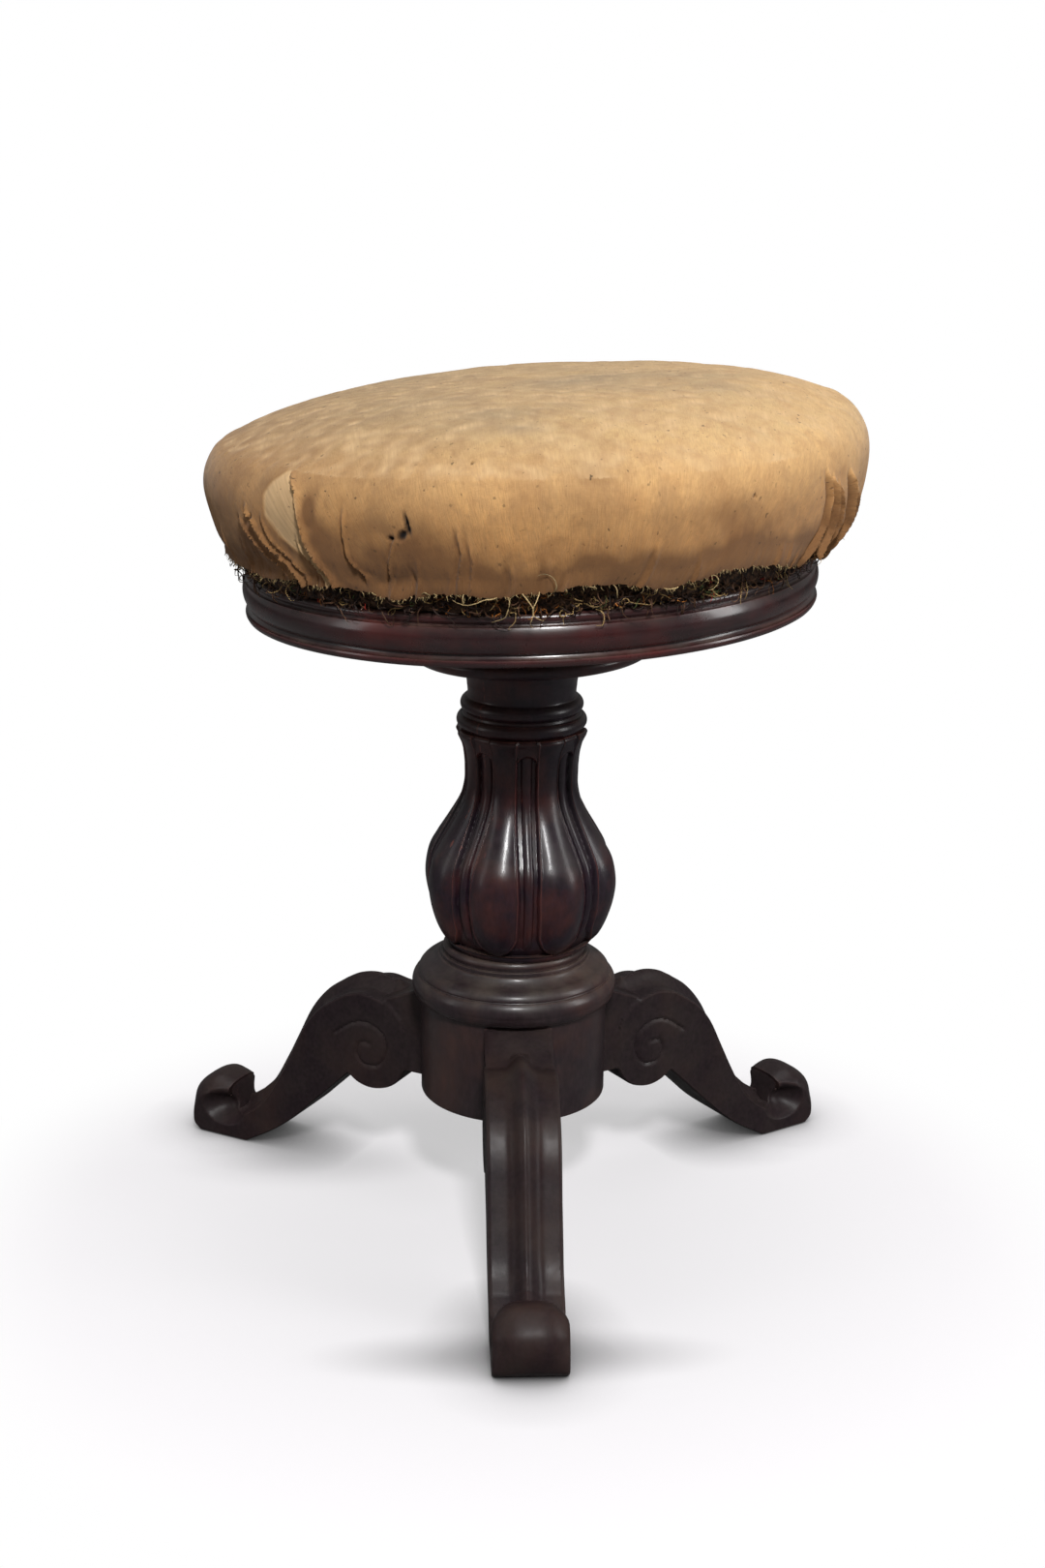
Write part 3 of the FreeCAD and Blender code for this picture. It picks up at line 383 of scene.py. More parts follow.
def washer_leather():
    made = Nodes("old_leather")
    cells = made.add("ShaderNodeTexVoronoi", Vector=made.place, Scale=700.0).outputs["Distance"]
    made.set("Base Color", made.mix(made.ramp(made.noise(90, 5), [(0.3, 0.0), (0.7, 1.0)]),
                                    (0.16, 0.08, 0.04), (0.26, 0.15, 0.08)))
    made.set("Roughness", made.ramp(cells, [(0.2, 0.55), (0.8, 0.8)]))
    made.set("Normal", made.bump(cells, 0.4, 0.0004))
    return made.material


MAHOGANY = polished_wood("polished_mahogany", dark=(0.0105, 0.005, 0.0095), warm=(0.12, 0.028, 0.018),
                         warm_share=0.45, gloss=0.32, dust=0.03, coat=0.18, along=(1, 1, 0.4),
                         settled=0.25, shine=0.35)
RAIL_POLISH = polished_wood("rail_mahogany", dark=(0.018, 0.0065, 0.0075), warm=(0.085, 0.01, 0.009),
                            warm_share=0.6, gloss=0.26, dust=0.05, coat=0.5, along=(0.12, 0.12, 1),
                            settled=0.3)
LEG_POLISH = polished_wood("leg_mahogany", dark=(0.014, 0.0085, 0.0105), warm=(0.034, 0.015, 0.014),
                           warm_share=0.5, gloss=0.36, dust=0.1, coat=0.0, along=(1, 1, 0.8),
                           settled=0.04, pore=0.03, shine=0.2)
DRUM_POLISH = polished_wood("drum_mahogany", dark=(0.016, 0.009, 0.0115), warm=(0.07, 0.026, 0.02),
                            warm_share=0.45, gloss=0.34, dust=0.08, coat=0.18, along=(1, 1, 0.4),
                            settled=0.3, shine=0.4)
BEECH = plain_wood("raw_beech", (0.5, 0.34, 0.2), (0.38, 0.24, 0.13))
PINE = plain_wood("old_pine", (0.33, 0.22, 0.12), (0.18, 0.11, 0.06))
IRON = old_metal("oiled_iron", (0.11, 0.1, 0.095), (0.09, 0.045, 0.025), 0.35)
STEEL = old_metal("dull_steel", (0.32, 0.3, 0.28), (0.14, 0.08, 0.05), 0.4)
LEATHER = washer_leather()

PLAIN_NODES = {
    "leg_dowels": BEECH, "seat_board": PINE, "screw_nut": IRON, "lifting_screw": IRON, "stop_pin": IRON,
    "screw_plate": IRON, "nut_screws": STEEL, "plate_screws": STEEL, "cover_tacks": STEEL,
    "thrust_washer": LEATHER,
}
for node_name, node_material in PLAIN_NODES.items():
    node_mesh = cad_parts[node_name].data
    node_mesh.materials.clear()
    node_mesh.materials.append(node_material)


# Turned pieces

DRUM_BASE, DRUM_TOP = 73.0, 137.0
DRUM_RADIUS = 57.5
DRUM_FLAT = 54.0
COLUMN_FOOT = 171.5
# The flats end this far below the drum's top
FLAT_END = 0.2
# Outlines of turned pieces: corners of (across, up), and arcs with their radius and the side they bulge to
DRUM_LINE = [
    (1, DRUM_BASE),
    (DRUM_RADIUS - 1.6, DRUM_BASE),
    (DRUM_RADIUS, DRUM_BASE + 1.6, 1.6, RIGHT),
    (DRUM_RADIUS, DRUM_TOP - 0.4),
    (58.2, DRUM_TOP - 0.4),
    (60.4, DRUM_TOP, 3, LEFT),
    (62.8, 142.6, 7.5, RIGHT),
    (60.4, 151.6, 8.5, RIGHT),
    (59.2, 152.2, 0.8, LEFT),
    (59.5, 153.2, 0.9, RIGHT),
    (55.0, 158.0, 7.0, RIGHT),
    (47.6, 162.6, 10.0, LEFT),
    (45.8, 163.7, 1.5, RIGHT),
    (45.8, 165.7),
    (45.1, 166.1, 0.8, RIGHT),
    (43.7, 166.1),
    (43.6, 167.3),
    (43.9, 169.6, 1.8, RIGHT),
    (42.2, 171.4, 2.6, RIGHT),
    (30, COLUMN_FOOT),
]
BOSS_LINE = [
    (31, 13),
    (31, 0.8),
    (31.8, 0, 0.8, RIGHT),
    (66.5, 0),
    (71.6, 1.8, 5, RIGHT),
    (73, 5.0, 5, RIGHT),
    (71.2, 8.4, 5, RIGHT),
    (67.5, 10.8, 5, RIGHT),
    (60.2, 13.4, 9, LEFT),
    (58, 19, 8, LEFT),
    (58, 32.9),
    (50, 32.9),
]
RAIL_LINE = [
    (150.2, RAIL_BASE),
    (158.0, RAIL_BASE),
    (166.5, RAIL_BASE + 1.3),
    (168, RAIL_BASE + 2.2, 1.2, RIGHT),
    (168.2, RAIL_BASE + 5.2, 3.0, RIGHT),
    (165.6, RAIL_BASE + 6.4, 2.0, LEFT),
    (165.2, RAIL_BASE + 8.2, 1.6, LEFT),
    (167.2, RAIL_BASE + 9.3, 1.4, RIGHT),
    (168.0, RAIL_BASE + 23.0, 13.5, RIGHT),
    (165.6, RAIL_BASE + 24.6, 2.4, LEFT),
    (166.6, RAIL_BASE + 25.4, 0.9, RIGHT),
    (166.8, RAIL_BASE + 29.2, 2.5, RIGHT),
    (165.2, RAIL_TOP, 1.6, RIGHT),
    (150.2, RAIL_TOP),
]


def flats_for_legs(points):
    """Cuts the three flats that the legs' blocks stand against."""
    for angle in LEG_ANGLES.values():
        way = polar(1, math.radians(angle), 0)[:2]
        beyond = np.clip(points[..., :2] @ way - DRUM_FLAT, 0, None) * (points[..., 2] < DRUM_TOP - FLAT_END)
        points[..., :2] -= beyond[..., None] * way
    return points


# Carved column

PETALS = 8
PETAL_TURN = 25.4
CARVING_FOOT, CARVING_TOP = 176.5, 308.5
# Heights up the carving, with the crest's radius there
CREST = [(176.5, 46.5), (181.6, 50.9), (190.5, 55.2), (202.7, 58.9), (215.0, 60.2), (228.3, 57.9),
         (238.2, 52.8), (249.7, 45.6), (262.5, 38.2), (272.0, 35.3), (281.0, 34.6), (291.0, 35.0),
         (298.0, 36.4), (303.0, 38.6), (306.5, 40.2), (308.5, 39.2)]
# Heights with half a petal's angle, its crown, the channel's depth, the reed's depth and half its angle
CARVING = [
    (176.5, 11.6, 1.6, 4.0, 3.6, 3.0),
    (190.0, 15.4, 3.8, 6.2, 4.4, 3.2),
    (215.0, 16.4, 5.0, 7.6, 5.0, 3.2),
    (240.0, 14.8, 3.8, 6.4, 4.0, 3.6),
    (262.0, 12.4, 1.5, 4.2, 2.2, 5.0),
    (281.0, 11.8, 0.7, 3.2, 1.4, 6.0),
    (296.0, 12.4, 0.5, 3.2, 1.4, 6.0),
    (308.5, 13.4, 1.2, 3.4, 2.6, 6.0),
]
PETAL_FOOT_ROUND, PETAL_FOOT_POWER = 13.5, 2.4
# The bead along a petal's edge: its height, how far inside the edge it lies, and its width
BEAD_HEIGHT, BEAD_IN, BEAD_WIDTH = 0.7, 0.8, 0.6
# The heights between which a reed rises out of its channel
REED_START = (180, 186)
FLUTE_TOP, FLUTE_ARCH, FLUTE_END = 298.0, 7.0, 1.6
# How deep the channel is between the curled tips, as a share of its depth below
TIP_SHARE = 0.62
COLUMN_SIDES = 960
# Stretches of the carving's height: from, to and rows
CARVING_ROWS = [(CARVING_FOOT, 196, 40), (196.6, 286, 110), (286.5, CARVING_TOP, 42)]


def carved_radius(up, turn):
    """The carving's radius at heights and angles in degrees."""
    crest = np.interp(up, *smooth_line(CREST, 8).T)
    heights, *fields = np.array(CARVING).T
    half, crown, channel, reed_drop, reed_half = (np.interp(up, heights, field) for field in fields)
    period = 360.0 / PETALS
    off = np.abs((turn - PETAL_TURN + period / 2) % period - period / 2)
    # The petal narrows to a rounded foot
    low = np.clip((CARVING_FOOT + PETAL_FOOT_ROUND - up) / PETAL_FOOT_ROUND, 0, 1)
    half = half * np.sqrt(np.clip(1 - low ** PETAL_FOOT_POWER, 0, 1))
    petal = crown * np.clip(off / np.maximum(half, 0.5), 0, 1.2) ** 2
    bead = BEAD_HEIGHT * np.exp(-((off - half + BEAD_IN) / BEAD_WIDTH) ** 2)
    gap = np.maximum(period / 2 - reed_half, half + 1.2)
    reed_share = np.clip((off - gap) / np.maximum(period / 2 - gap, 0.5), 0, 1)
    reed_rise = np.sqrt(1 - (1 - reed_share) ** 2) * soft_step(up, *REED_START)
    reed = channel - (channel - reed_drop) * reed_rise
    # The flute beside the reed ends in an arch, under the curled tips
    from_reed = (period / 2 - off) / (period / 2 - half + 0.1)
    arch = FLUTE_TOP - FLUTE_ARCH * (1 - np.sqrt(np.clip(1 - from_reed ** 2, 0, 1)))
    over = soft_step(up, arch, arch + FLUTE_END)
    tips = channel * TIP_SHARE * soft_step(up, FLUTE_TOP - 2, CARVING_TOP - 3)
    floor = np.where(off > half, (1 - over) * reed + over * tips, channel)
    edge = soft_step(off, half - 0.1, half + 1.1)
    return crest - petal * (1 - edge) - floor * edge + bead * (1 - edge)


def make_column():
    below = outline([
        (41.6, COLUMN_FOOT),
        (43.6, 172.6, 1.8, RIGHT),
        (44.6, 175.2, 3.4, RIGHT),
        (46.3, 176.4),
    ], 0.5)
    above = outline([
        (35.0, 308.6),
        (36.6, 309.2, 1.2, RIGHT),
        (37.2, 317.2, 4.4, RIGHT),
        (35.2, 318.2, 1.2, LEFT),
        (34.6, 319.2, 1.0, RIGHT),
        (34.4, 327.6, 4.6, RIGHT),
        (32.8, 329.2, 1.4, LEFT),
        (33.2, 335.0, 26, LEFT),
        (37.4, 348.0, 24, LEFT),
        (37.0, 349.8, 1.2, RIGHT),
        (27.2, 349.9),
    ], 0.6)
    turns = np.arange(COLUMN_SIDES) * 360.0 / COLUMN_SIDES
    rises = np.concatenate([np.linspace(*stretch) for stretch in CARVING_ROWS])
    up, turn = np.meshgrid(rises, turns, indexing="ij")
    ring = np.ones(COLUMN_SIDES)
    radius = np.concatenate([below[:, :1] * ring, carved_radius(up, turn), above[:, :1] * ring])
    height = np.concatenate([below[:, 1:] * ring, up, above[:, 1:] * ring])
    around = np.radians(turns)
    points = polar(radius, around, height)
    points += polar(unevenness(points, 40, 0.03, 0.3, 0.13), around, 0)
    mesh = mesh_from("carved_column", points, [grid_faces(len(height), COLUMN_SIDES)])
    place = drum_matrix(COLUMN_OFFSET)
    make_object("carved_column", mesh, place, MAHOGANY, "base", "polished_mahogany", "column")


# Scroll legs

# The block's top: its height at its start, how steeply it falls, and where it starts and ends
BLOCK_TOP, BLOCK_SLOPE, BLOCK_START, BLOCK_END = 133.5, 0.44, 57, 86
# Each span of a leg as matching stretches of its upper and lower lines, and how many steps it takes
LEG_SPANS = [
    ([(54, 133.5), (67, 129.0)], [(54, 76), (67, 76)], 8),
    ([(67, 129.0), (76, 124.0), (84, 121.6), (97, 123.5), (108, 121.4), (117, 116.6)],
     [(67, 76), (71.9, 67.8), (80.0, 61.8), (91.4, 59.1), (101.5, 61.1), (109, 66)], 9),
    ([(117, 116.6), (130, 107), (141, 93.5), (151, 74), (160, 56), (171, 36.5), (182, 25)],
     [(109, 66), (118, 57.4), (129, 46.6), (141, 35), (153, 23.6), (169, 11.6), (189, 0)], 10),
    ([(182, 25), (190, 19.6), (196, 17.0), (199.6, 17.4)],
     [(189, 0), (202, 0), (215, 0), (226, 0)], 10),
    ([(199.6, 17.4), (200.8, 21.4), (201.8, 25.0), (202.6, 28.4), (203.4, 31.4), (204.2, 34.0)],
     [(226, 0), (232.8, 6.5), (236, 18), (232.4, 30), (219.5, 38.4), (204.8, 35.2)], 11),
]
EDGE_STEPS = np.array([0.0, 0.35, 0.8, 1.4, 2.2])
RIB_HALF, RIB_HEIGHT, RIB_POWER = 13.0, 7.6, 1.9
# The reaches between which the rib rises out of the block
RIB_START = (72, 80)
HOLLOW_DEPTH, HOLLOW_MIDDLE, HOLLOW_WIDTH = 0.1, 14.0, 4.0
# How far an edge is taken down, and how wide the softened band is
EDGE_DROP, EDGE_BAND = 1.1, 2.0
ACROSS_STEPS = 45
# How far into the curl its crown starts, and how far in its edges have grown sharp, as shares of the leg
CURL_START, CURL_EDGE = 0.02, 0.1
CURL_SHARPNESS = 0.3
# How the leg's unevenness shows outwards, across and up
LEG_UNEVEN = np.array([0.3, 0.6, 0.6])
# The curl's crown across, towards its tip
TOE_CROWN, TOE_POWER = 8.6, 3.0
# The bowl scooped into the curl on each side: its middle, how far it reaches, and its depth
BOWL_MIDDLE = np.array([206.0, 20.5])
BOWL_REACH = np.array([17.0, 12.5])
BOWL_DEPTH, BOWL_POWER = 12.0, 1.4
VOLUTE = [(118, 93), (111, 98.5), (101, 103.5), (90, 103), (81.5, 96.5), (80.5, 85), (87, 76), (96.5, 75.2),
          (102, 82), (99, 89.5), (92.5, 90)]
VOLUTE_WIDTH, VOLUTE_DEPTH = 1.0, 1.3
# The volute's disc stands proud of the block behind this line: heights with reaches
DISC_EDGE = [(60, 68.5), (76, 66.6), (85, 65.4), (98, 65.8), (110, 69.4), (118, 76), (122.5, 85), (140, 110)]
# How far the disc stands proud, over how much of the side, and the reaches where this starts on the top and
# on the underside
BLOCK_STEP, BLOCK_STEP_WIDTH = 1.1, 0.7
TOP_STEP, LOW_STEP = (83, 85), (66.4, 67.2)
# Shares of the way down a side
SIDE_SHARES = np.concatenate([[0.02, 0.05], np.linspace(0.08, 0.92, 44), [0.95, 0.98]])


def leg_lines():
    """The upper and lower lines of a leg seen from its side, with matching points."""
    upper, lower = ([np.array([LEG_SPANS[0][side][0]], float)] for side in (0, 1))
    for top, bottom, steps in LEG_SPANS:
        upper.append(smooth_line(top, steps)[1:])
        lower.append(smooth_line(bottom, steps)[1:])
    return np.concatenate(upper), np.concatenate(lower)


def left_of(line):
    """The way to the left of a line, at each of its points."""
    along = unit(np.gradient(line, axis=0))
    return np.stack([-along[:, 1], along[:, 0]], axis=1)


def distance_to_line(points, line):
    """How far points are from a line of points in the plane."""
    gaps = np.linalg.norm(points[..., None, :] - line, axis=-1)
    return gaps.min(axis=-1)


def make_leg(node, angle):
    upper, lower = leg_lines()
    count = len(upper)
    half = LEG_WIDTH / 2
    place = np.arange(count) / (count - 1)
    starts = np.cumsum([0] + [(len(top) - 1) * steps for top, _, steps in LEG_SPANS]) / (count - 1)
    curl = starts[4]
    sharper = 1 - CURL_SHARPNESS * soft_step(place, curl + CURL_START, curl + CURL_EDGE)
    inner = np.linspace(EDGE_STEPS[-1] - half, half - EDGE_STEPS[-1], ACROSS_STEPS)
    across = np.concatenate([EDGE_STEPS[:-1] - half, inner, half - EDGE_STEPS[-2::-1]])
    off = np.abs(across)
    # Across the top: the rib with a hollow on each side, and softened edges
    rib_share = soft_step(upper[:, 0], *RIB_START) * (1 - soft_step(place, curl - CURL_START, curl))
    bell = np.where(off < RIB_HALF, 0.5 + 0.5 * np.cos(np.pi * across / RIB_HALF), 0) ** RIB_POWER
    hollow = HOLLOW_DEPTH * np.exp(-((off - HOLLOW_MIDDLE) / HOLLOW_WIDTH) ** 2)
    softened = EDGE_DROP * np.clip(1 - (half - off) / EDGE_BAND, 0, 1) ** 2
    lift = rib_share[:, None] * (RIB_HEIGHT * bell - hollow) - softened * sharper[:, None]
    top = upper[:, None, :] + left_of(upper)[:, None, :] * lift[..., None]
    # Where the rib starts, the block's sloping top stays the higher of the two
    slope = BLOCK_TOP - BLOCK_SLOPE * (top[..., 0] - BLOCK_START)
    higher = np.maximum(top[..., 1], slope - softened)
    top[..., 1] = np.where(top[..., 0] < BLOCK_END, higher, top[..., 1])
    # Across the underside and the curl's outside, which is crowned towards its tip
    toe = soft_step(place, curl + CURL_START, (curl + 1) / 2)
    crown = TOE_CROWN * (off / half) ** TOE_POWER
    top[..., 1] -= crown * np.clip((place - curl) / (1 - curl), 0, 1)[:, None]
    drop = crown * toe[:, None] + softened
    bottom = lower[:, None, :] + left_of(lower)[:, None, :] * drop[..., None]
    bottom[..., 1] = np.maximum(bottom[..., 1], 0)
    # The sides run from the top's edge to the underside's, with the volute cut into them
    share = SIDE_SHARES[None, :, None]
    side = top[:, :1, :] * (1 - share) + bottom[:, :1, :] * share
    groove = VOLUTE_DEPTH * np.exp(-(distance_to_line(side, smooth_line(VOLUTE, 12)) / VOLUTE_WIDTH) ** 2)
    edge = np.interp(side[..., 1], *np.array(DISC_EDGE).T)
    inward = groove + BLOCK_STEP * (1 - soft_step(side[..., 0], edge - BLOCK_STEP_WIDTH, edge))
    top_step = BLOCK_STEP * (1 - soft_step(top[:, 0, 0], *TOP_STEP))
    low_step = BLOCK_STEP * (1 - soft_step(bottom[:, 0, 0], *LOW_STEP))
    low_step *= np.arange(count) < starts[1] * count + 3
    top_across, low_across = (across[None, :] * (1 - step / half)[:, None] for step in (top_step, low_step))
    loop = np.concatenate([
        np.stack([top[..., 0], top_across, top[..., 1]], axis=-1),
        np.stack([side[..., 0], half - inward, side[..., 1]], axis=-1),
        np.stack([bottom[..., 0], low_across, bottom[..., 1]], axis=-1)[:, ::-1],
        np.stack([side[..., 0], inward - half, side[..., 1]], axis=-1)[:, ::-1],
    ], axis=1)
    from_bowl = np.linalg.norm((loop[..., [0, 2]] - BOWL_MIDDLE) / BOWL_REACH, axis=-1)
    loop[..., 1] *= 1 - BOWL_DEPTH / half * np.clip(1 - from_bowl ** 2, 0, 1) ** BOWL_POWER
    loop += unevenness(loop, 30, 0.02, 0.25, 0.12)[..., None] * LEG_UNEVEN
    loop[..., 2] = np.maximum(loop[..., 2], 0)
    mesh = closed_mesh(node + "_carved", loop, sharp=38)
    make_object(node + "_carved", mesh, leg_matrix(angle), LEG_POLISH, "base", "leg_mahogany", node)


make_turned("leg_drum", DRUM_LINE, drum_matrix(), DRUM_POLISH, "base", "polished_mahogany",
            columns=360, cut=flats_for_legs)
make_turned("seat_boss", BOSS_LINE, seat_matrix(), MAHOGANY, "seat", "polished_mahogany", columns=300)
make_turned("seat_rail", RAIL_LINE, seat_matrix(), RAIL_POLISH, "seat", "rail_mahogany",
            columns=480, spacing=0.7, wobble=0.2)
make_column()
for leg, leg_angle in LEG_ANGLES.items():
    make_leg(leg, leg_angle)


# Seat cushion, in the seat's own frame

CROWN = 162.5
WIDEST, WIDEST_UP = 190.7, 111.8
SHOULDER = 31.4
SHOULDER_END = 62.0
LOWER_IN, LOWER_DOWN = 41.6, 56.2
# How far the dome's line keeps its way at the crown and at the shoulder
CROWN_HANDLE, SHOULDER_HANDLE = 75, 45
# How far the cushion sits to the right, how much less at its crown, and how far its right side rises
CUSHION_SHIFT, CROWN_SHIFT = 6.5, 1.7
SIDE_RISE, RIGHT_RISE = 4.9, 7.1
RISE_START, RISE_SPEED = 5, 6
HEM_LIFT = 2.2
# Angles round the seat, in degrees from +X, with the torn hem's height there
HEM = [(-180, 72.0), (-165, 74.5), (-154, 73.4), (-148, 72.0), (-141.6, 72.6), (-138.5, 76.5), (-136.0, 73.0),
       (-133.8, 74.0), (-131.0, 72.5), (-128.5, 77.5), (-125.5, 73.5), (-121.0, 71.8), (-117.0, 70.6),
       (-113.5, 71.8), (-109.0, 75.2), (-105.0, 75.6), (-101.0, 73.4), (-93.5, 73.2), (-87.0, 75.8),
       (-82.0, 75.0), (-77.0, 73.0), (-70.0, 69.8), (-65.5, 72.6), (-61.0, 75.8), (-57.0, 74.5),
       (-51.9, 74.0), (-46.0, 72.0), (-42.5, 69.6), (-39.6, 68.0), (-38.6, 73.0), (-35.6, 70.8),
       (-33.8, 73.6), (-31.5, 66.6), (-25.8, 64.8), (-22.5, 70.0), (-15.0, 71.0), (0, 71.0), (20, 73.5),
       (45, 70.0), (75, 74.0), (100, 71.0), (130, 73.0), (155, 70.5), (180, 72.0)]
FRONT_ANGLES = (-168.0, -12.0)
FRONT_COLUMNS, BACK_COLUMNS = 620, 240
TOP_ROWS, SIDE_ROWS = 62, 118
# The way from the crown to the shoulder and to the hem, down the cover
SHOULDER_WAY, COVER_WAY = 150.0, 285.0
CROWN_SHARE = 0.004
TURNED_EDGE_ROWS = 22
CLOTH_THICKNESS = 0.9
# The torn hem's unevenness: random, and in scallops of two counts round the seat
HEM_RANDOM, HEM_SCALLOP, SCALLOPS = 0.45, 0.8, (61, 23)
# The shares of the way down between which the cover's folds grow to their full height
FOLDS_START = (0.66, 0.86)
FOLDS_ABOVE = 0.04
# How dark the painted shade in the creases' valleys is
CREASE_SHADE = 0.9
# The heights between which dirt sets in, and the foot of the lining
DIRT_UP, LINING_FOOT = (128, 146), 70
# How marks fade at their edges, how wide holes open, and the shares of the way down where the cover darkens
# towards the hem, with soil and painted shade
LINING_FADE = (-0.2, 0.5)
HOLE_OPENING, HOLE_EDGE = 2.2, 0.7
SOIL_AND_SHADOW_START, SOIL_AND_SHADOW_POWER, SOIL_AND_SHADOW_HEM = 0.76, 1.4, (0.9, 0.985)
LINING_DEPTH, HOLE_DEPTH = 0.7, 2.6
# How far the torn edge turns out, and where this starts
EDGE_TURN, EDGE_TURN_START = 0.8, 0.955

# The trial cover that settles: its size, and where it starts
TRIAL_ROWS, TRIAL_COLUMNS = 60, 240
TRIAL_START = 0.02
# The shares of the way down between which the trial cover grows loose
LOOSE_START = (0.6, 0.95)
CLOTH_FRAMES = 20
# The most that a point's lift may be
CLOTH_CAP = 24.0
# The cover's least fullness round the seat, and the reach and rounds of the blur that takes its swell away
LEAST_FULLNESS = 0.35
SWELL_BLUR = (7, 2)
CLOTH = {"quality": 6, "mass": 0.25, "tension_stiffness": 14, "compression_stiffness": 14,
         "shear_stiffness": 5, "bending_stiffness": 0.35, "vertex_group_mass": "pins",
         "vertex_group_shrink": "loose", "shrink_min": 0.0, "shrink_max": -0.09, "use_pressure": True,
         "uniform_pressure_force": 4.0}

# A crease: its height against its named rise, the shares of its ridge and its lap, and its valley's depth,
# distance and width
CREASE_HEIGHT, RIDGE_SHARE, LAP_SHARE = 1.5, 0.7, 0.75
VALLEY_DEPTH, VALLEY_OFF, VALLEY_WIDTH = 0.55, 2.2, 1.2
# Creases: points of (angle, height), the ridge's rise, its half width and how far its lap reaches to the
# right
CREASES = [
    ([(-148.2, 110), (-145.6, 104), (-142.6, 93), (-138.6, 84), (-136.2, 74)], 1.9, 1.3, 5.0),
    ([(-150.5, 104), (-147.5, 96), (-144.0, 87), (-140.6, 78)], 1.5, 1.5, 4.0),
    ([(-143.4, 108), (-141.2, 96), (-137.4, 86), (-134.8, 77)], 1.0, 1.0, 3.0),
    ([(-137.6, 131), (-134.4, 122), (-133.1, 110), (-132.3, 97), (-130.4, 86), (-128.4, 76)], 2.4, 1.3, 9.0),
    ([(-135.0, 99), (-133.6, 90), (-131.4, 81), (-130.4, 74)], 1.4, 1.1, 3.5),
    ([(-124.8, 116), (-124.9, 104), (-124.6, 92), (-122.4, 82)], 1.1, 0.8, 5.0),
    ([(-115.8, 104), (-117.2, 92), (-118.2, 79)], 0.9, 0.8, 3.0),
    ([(-105.4, 109), (-104.9, 98), (-106.2, 82)], 1.0, 0.8, 2.4),
    ([(-103.8, 106), (-103.4, 94), (-104.2, 80)], 0.8, 0.8, 2.4),
    ([(-38.4, 121), (-37.0, 107), (-37.2, 92), (-39.8, 76)], 1.6, 1.1, 4.0),
    ([(-36.4, 116), (-34.6, 102), (-34.2, 88), (-36.8, 72)], 2.2, 1.3, 5.0),
    ([(-34.0, 112), (-31.4, 99), (-30.2, 86), (-31.6, 72)], 1.5, 1.2, 4.0),
    ([(-29.5, 116), (-27.0, 100), (-25.6, 86), (-26.4, 70)], 2.4, 1.4, 6.0),
    ([(-24.0, 104), (-21.6, 92), (-20.4, 78)], 1.6, 1.3, 4.0),
]
PUCKERS = 64
# Where the top cloth is worn through to the pale lining: heights with the angles of its left and right edges
LINING = [(132.0, -139.8, -138.8), (127.0, -141.8, -136.0), (120.0, -143.0, -134.2), (110.0, -142.4, -133.2),
          (100.0, -139.0, -132.6), (90.0, -135.0, -131.2), (82.0, -132.4, -129.8), (75.0, -130.6, -128.8)]
# Holes: angle, height, half width, half height, lean
HOLES = [(-146.6, 106.6, 1.2, 3.0, 0.0), (-113.4, 112.6, 1.5, 6.0, -0.25), (-114.4, 106.8, 2.6, 3.0, 0.4),
         (-116.4, 104.8, 2.1, 1.4, 0.0), (-57.0, 117.6, 1.2, 0.9, 0.0), (-104.0, 140.4, 0.8, 0.7, 0.0)]
# Stains: angle, height, half width, half height, strength. The two strongest beside the lining's right edge,
# at -131.4 and -129.6, are stain and painted shadow of the curled flap
STAINS_AND_SHADOWS = [(-65.0, 110.0, 26.0, 7.0, 0.4), (-50.0, 104.0, 24.0, 7.0, 0.3), (-120.5, 104.0, 14.0, 13.0, 0.6),
          (-131.4, 116.0, 4.2, 11.0, 1.5), (-129.6, 101.0, 4.5, 8.0, 0.8), (-112.0, 101.0, 12.0, 14.0, 0.4),
          (-84.0, 134.0, 9.0, 5.0, 0.5), (-88.0, 122.0, 22.0, 8.0, 0.25), (-62.0, 88.0, 60.0, 7.0, 0.35),
          (-95.0, 82.0, 90.0, 9.0, 0.55), (-150.0, 94.0, 22.0, 16.0, 0.6), (-33.0, 92.0, 12.0, 14.0, 0.35),
          (-135.0, 90.0, 40.0, 14.0, 0.45), (-140.0, 128.0, 14.0, 5.0, 0.5), (-150.0, 118.0, 40.0, 22.0, 0.3),
          (-112.0, 98.0, 22.0, 9.0, 0.35), (-128.0, 102.0, 14.0, 10.0, 0.35)]
# Grey dirt on the dome's top: place along X and Y, half sizes and strength
DIRT = [(48.0, -18.0, 62.0, 30.0, 0.5), (96.0, -62.0, 46.0, 16.0, 0.5), (-20.0, -112.0, 46.0, 20.0, 0.5),
        (20.0, 40.0, 90.0, 60.0, 0.3), (-70.0, -60.0, 60.0, 40.0, 0.3), (-8.0, -134.0, 20.0, 9.0, 0.5)]


def dome_line():
    """The cushion's half outline from the crown down to below its hem, as (reach, height)."""
    end = math.radians(SHOULDER_END)
    shoulder = np.radians(np.linspace(SHOULDER_END, 0, 24))
    lower = np.radians(np.linspace(-4, -72, 34))
    middle = np.array([WIDEST - SHOULDER, WIDEST_UP])
    upper = middle + SHOULDER * np.stack([np.cos(shoulder), np.sin(shoulder)], axis=1)
    falling = upper[0] + SHOULDER_HANDLE * np.array([-math.sin(end), math.cos(end)])
    t = np.linspace(0, 1, 60)[:-1, None]
    dome = ((1 - t) ** 3 * np.array([0, CROWN]) + 3 * (1 - t) ** 2 * t * np.array([CROWN_HANDLE, CROWN])
            + 3 * (1 - t) * t * t * falling + t ** 3 * upper[0])
    under = np.array([WIDEST - LOWER_IN, WIDEST_UP]) + np.stack(
        [LOWER_IN * np.cos(lower), LOWER_DOWN * np.sin(lower)], axis=1)
    return np.concatenate([dome, upper, under])


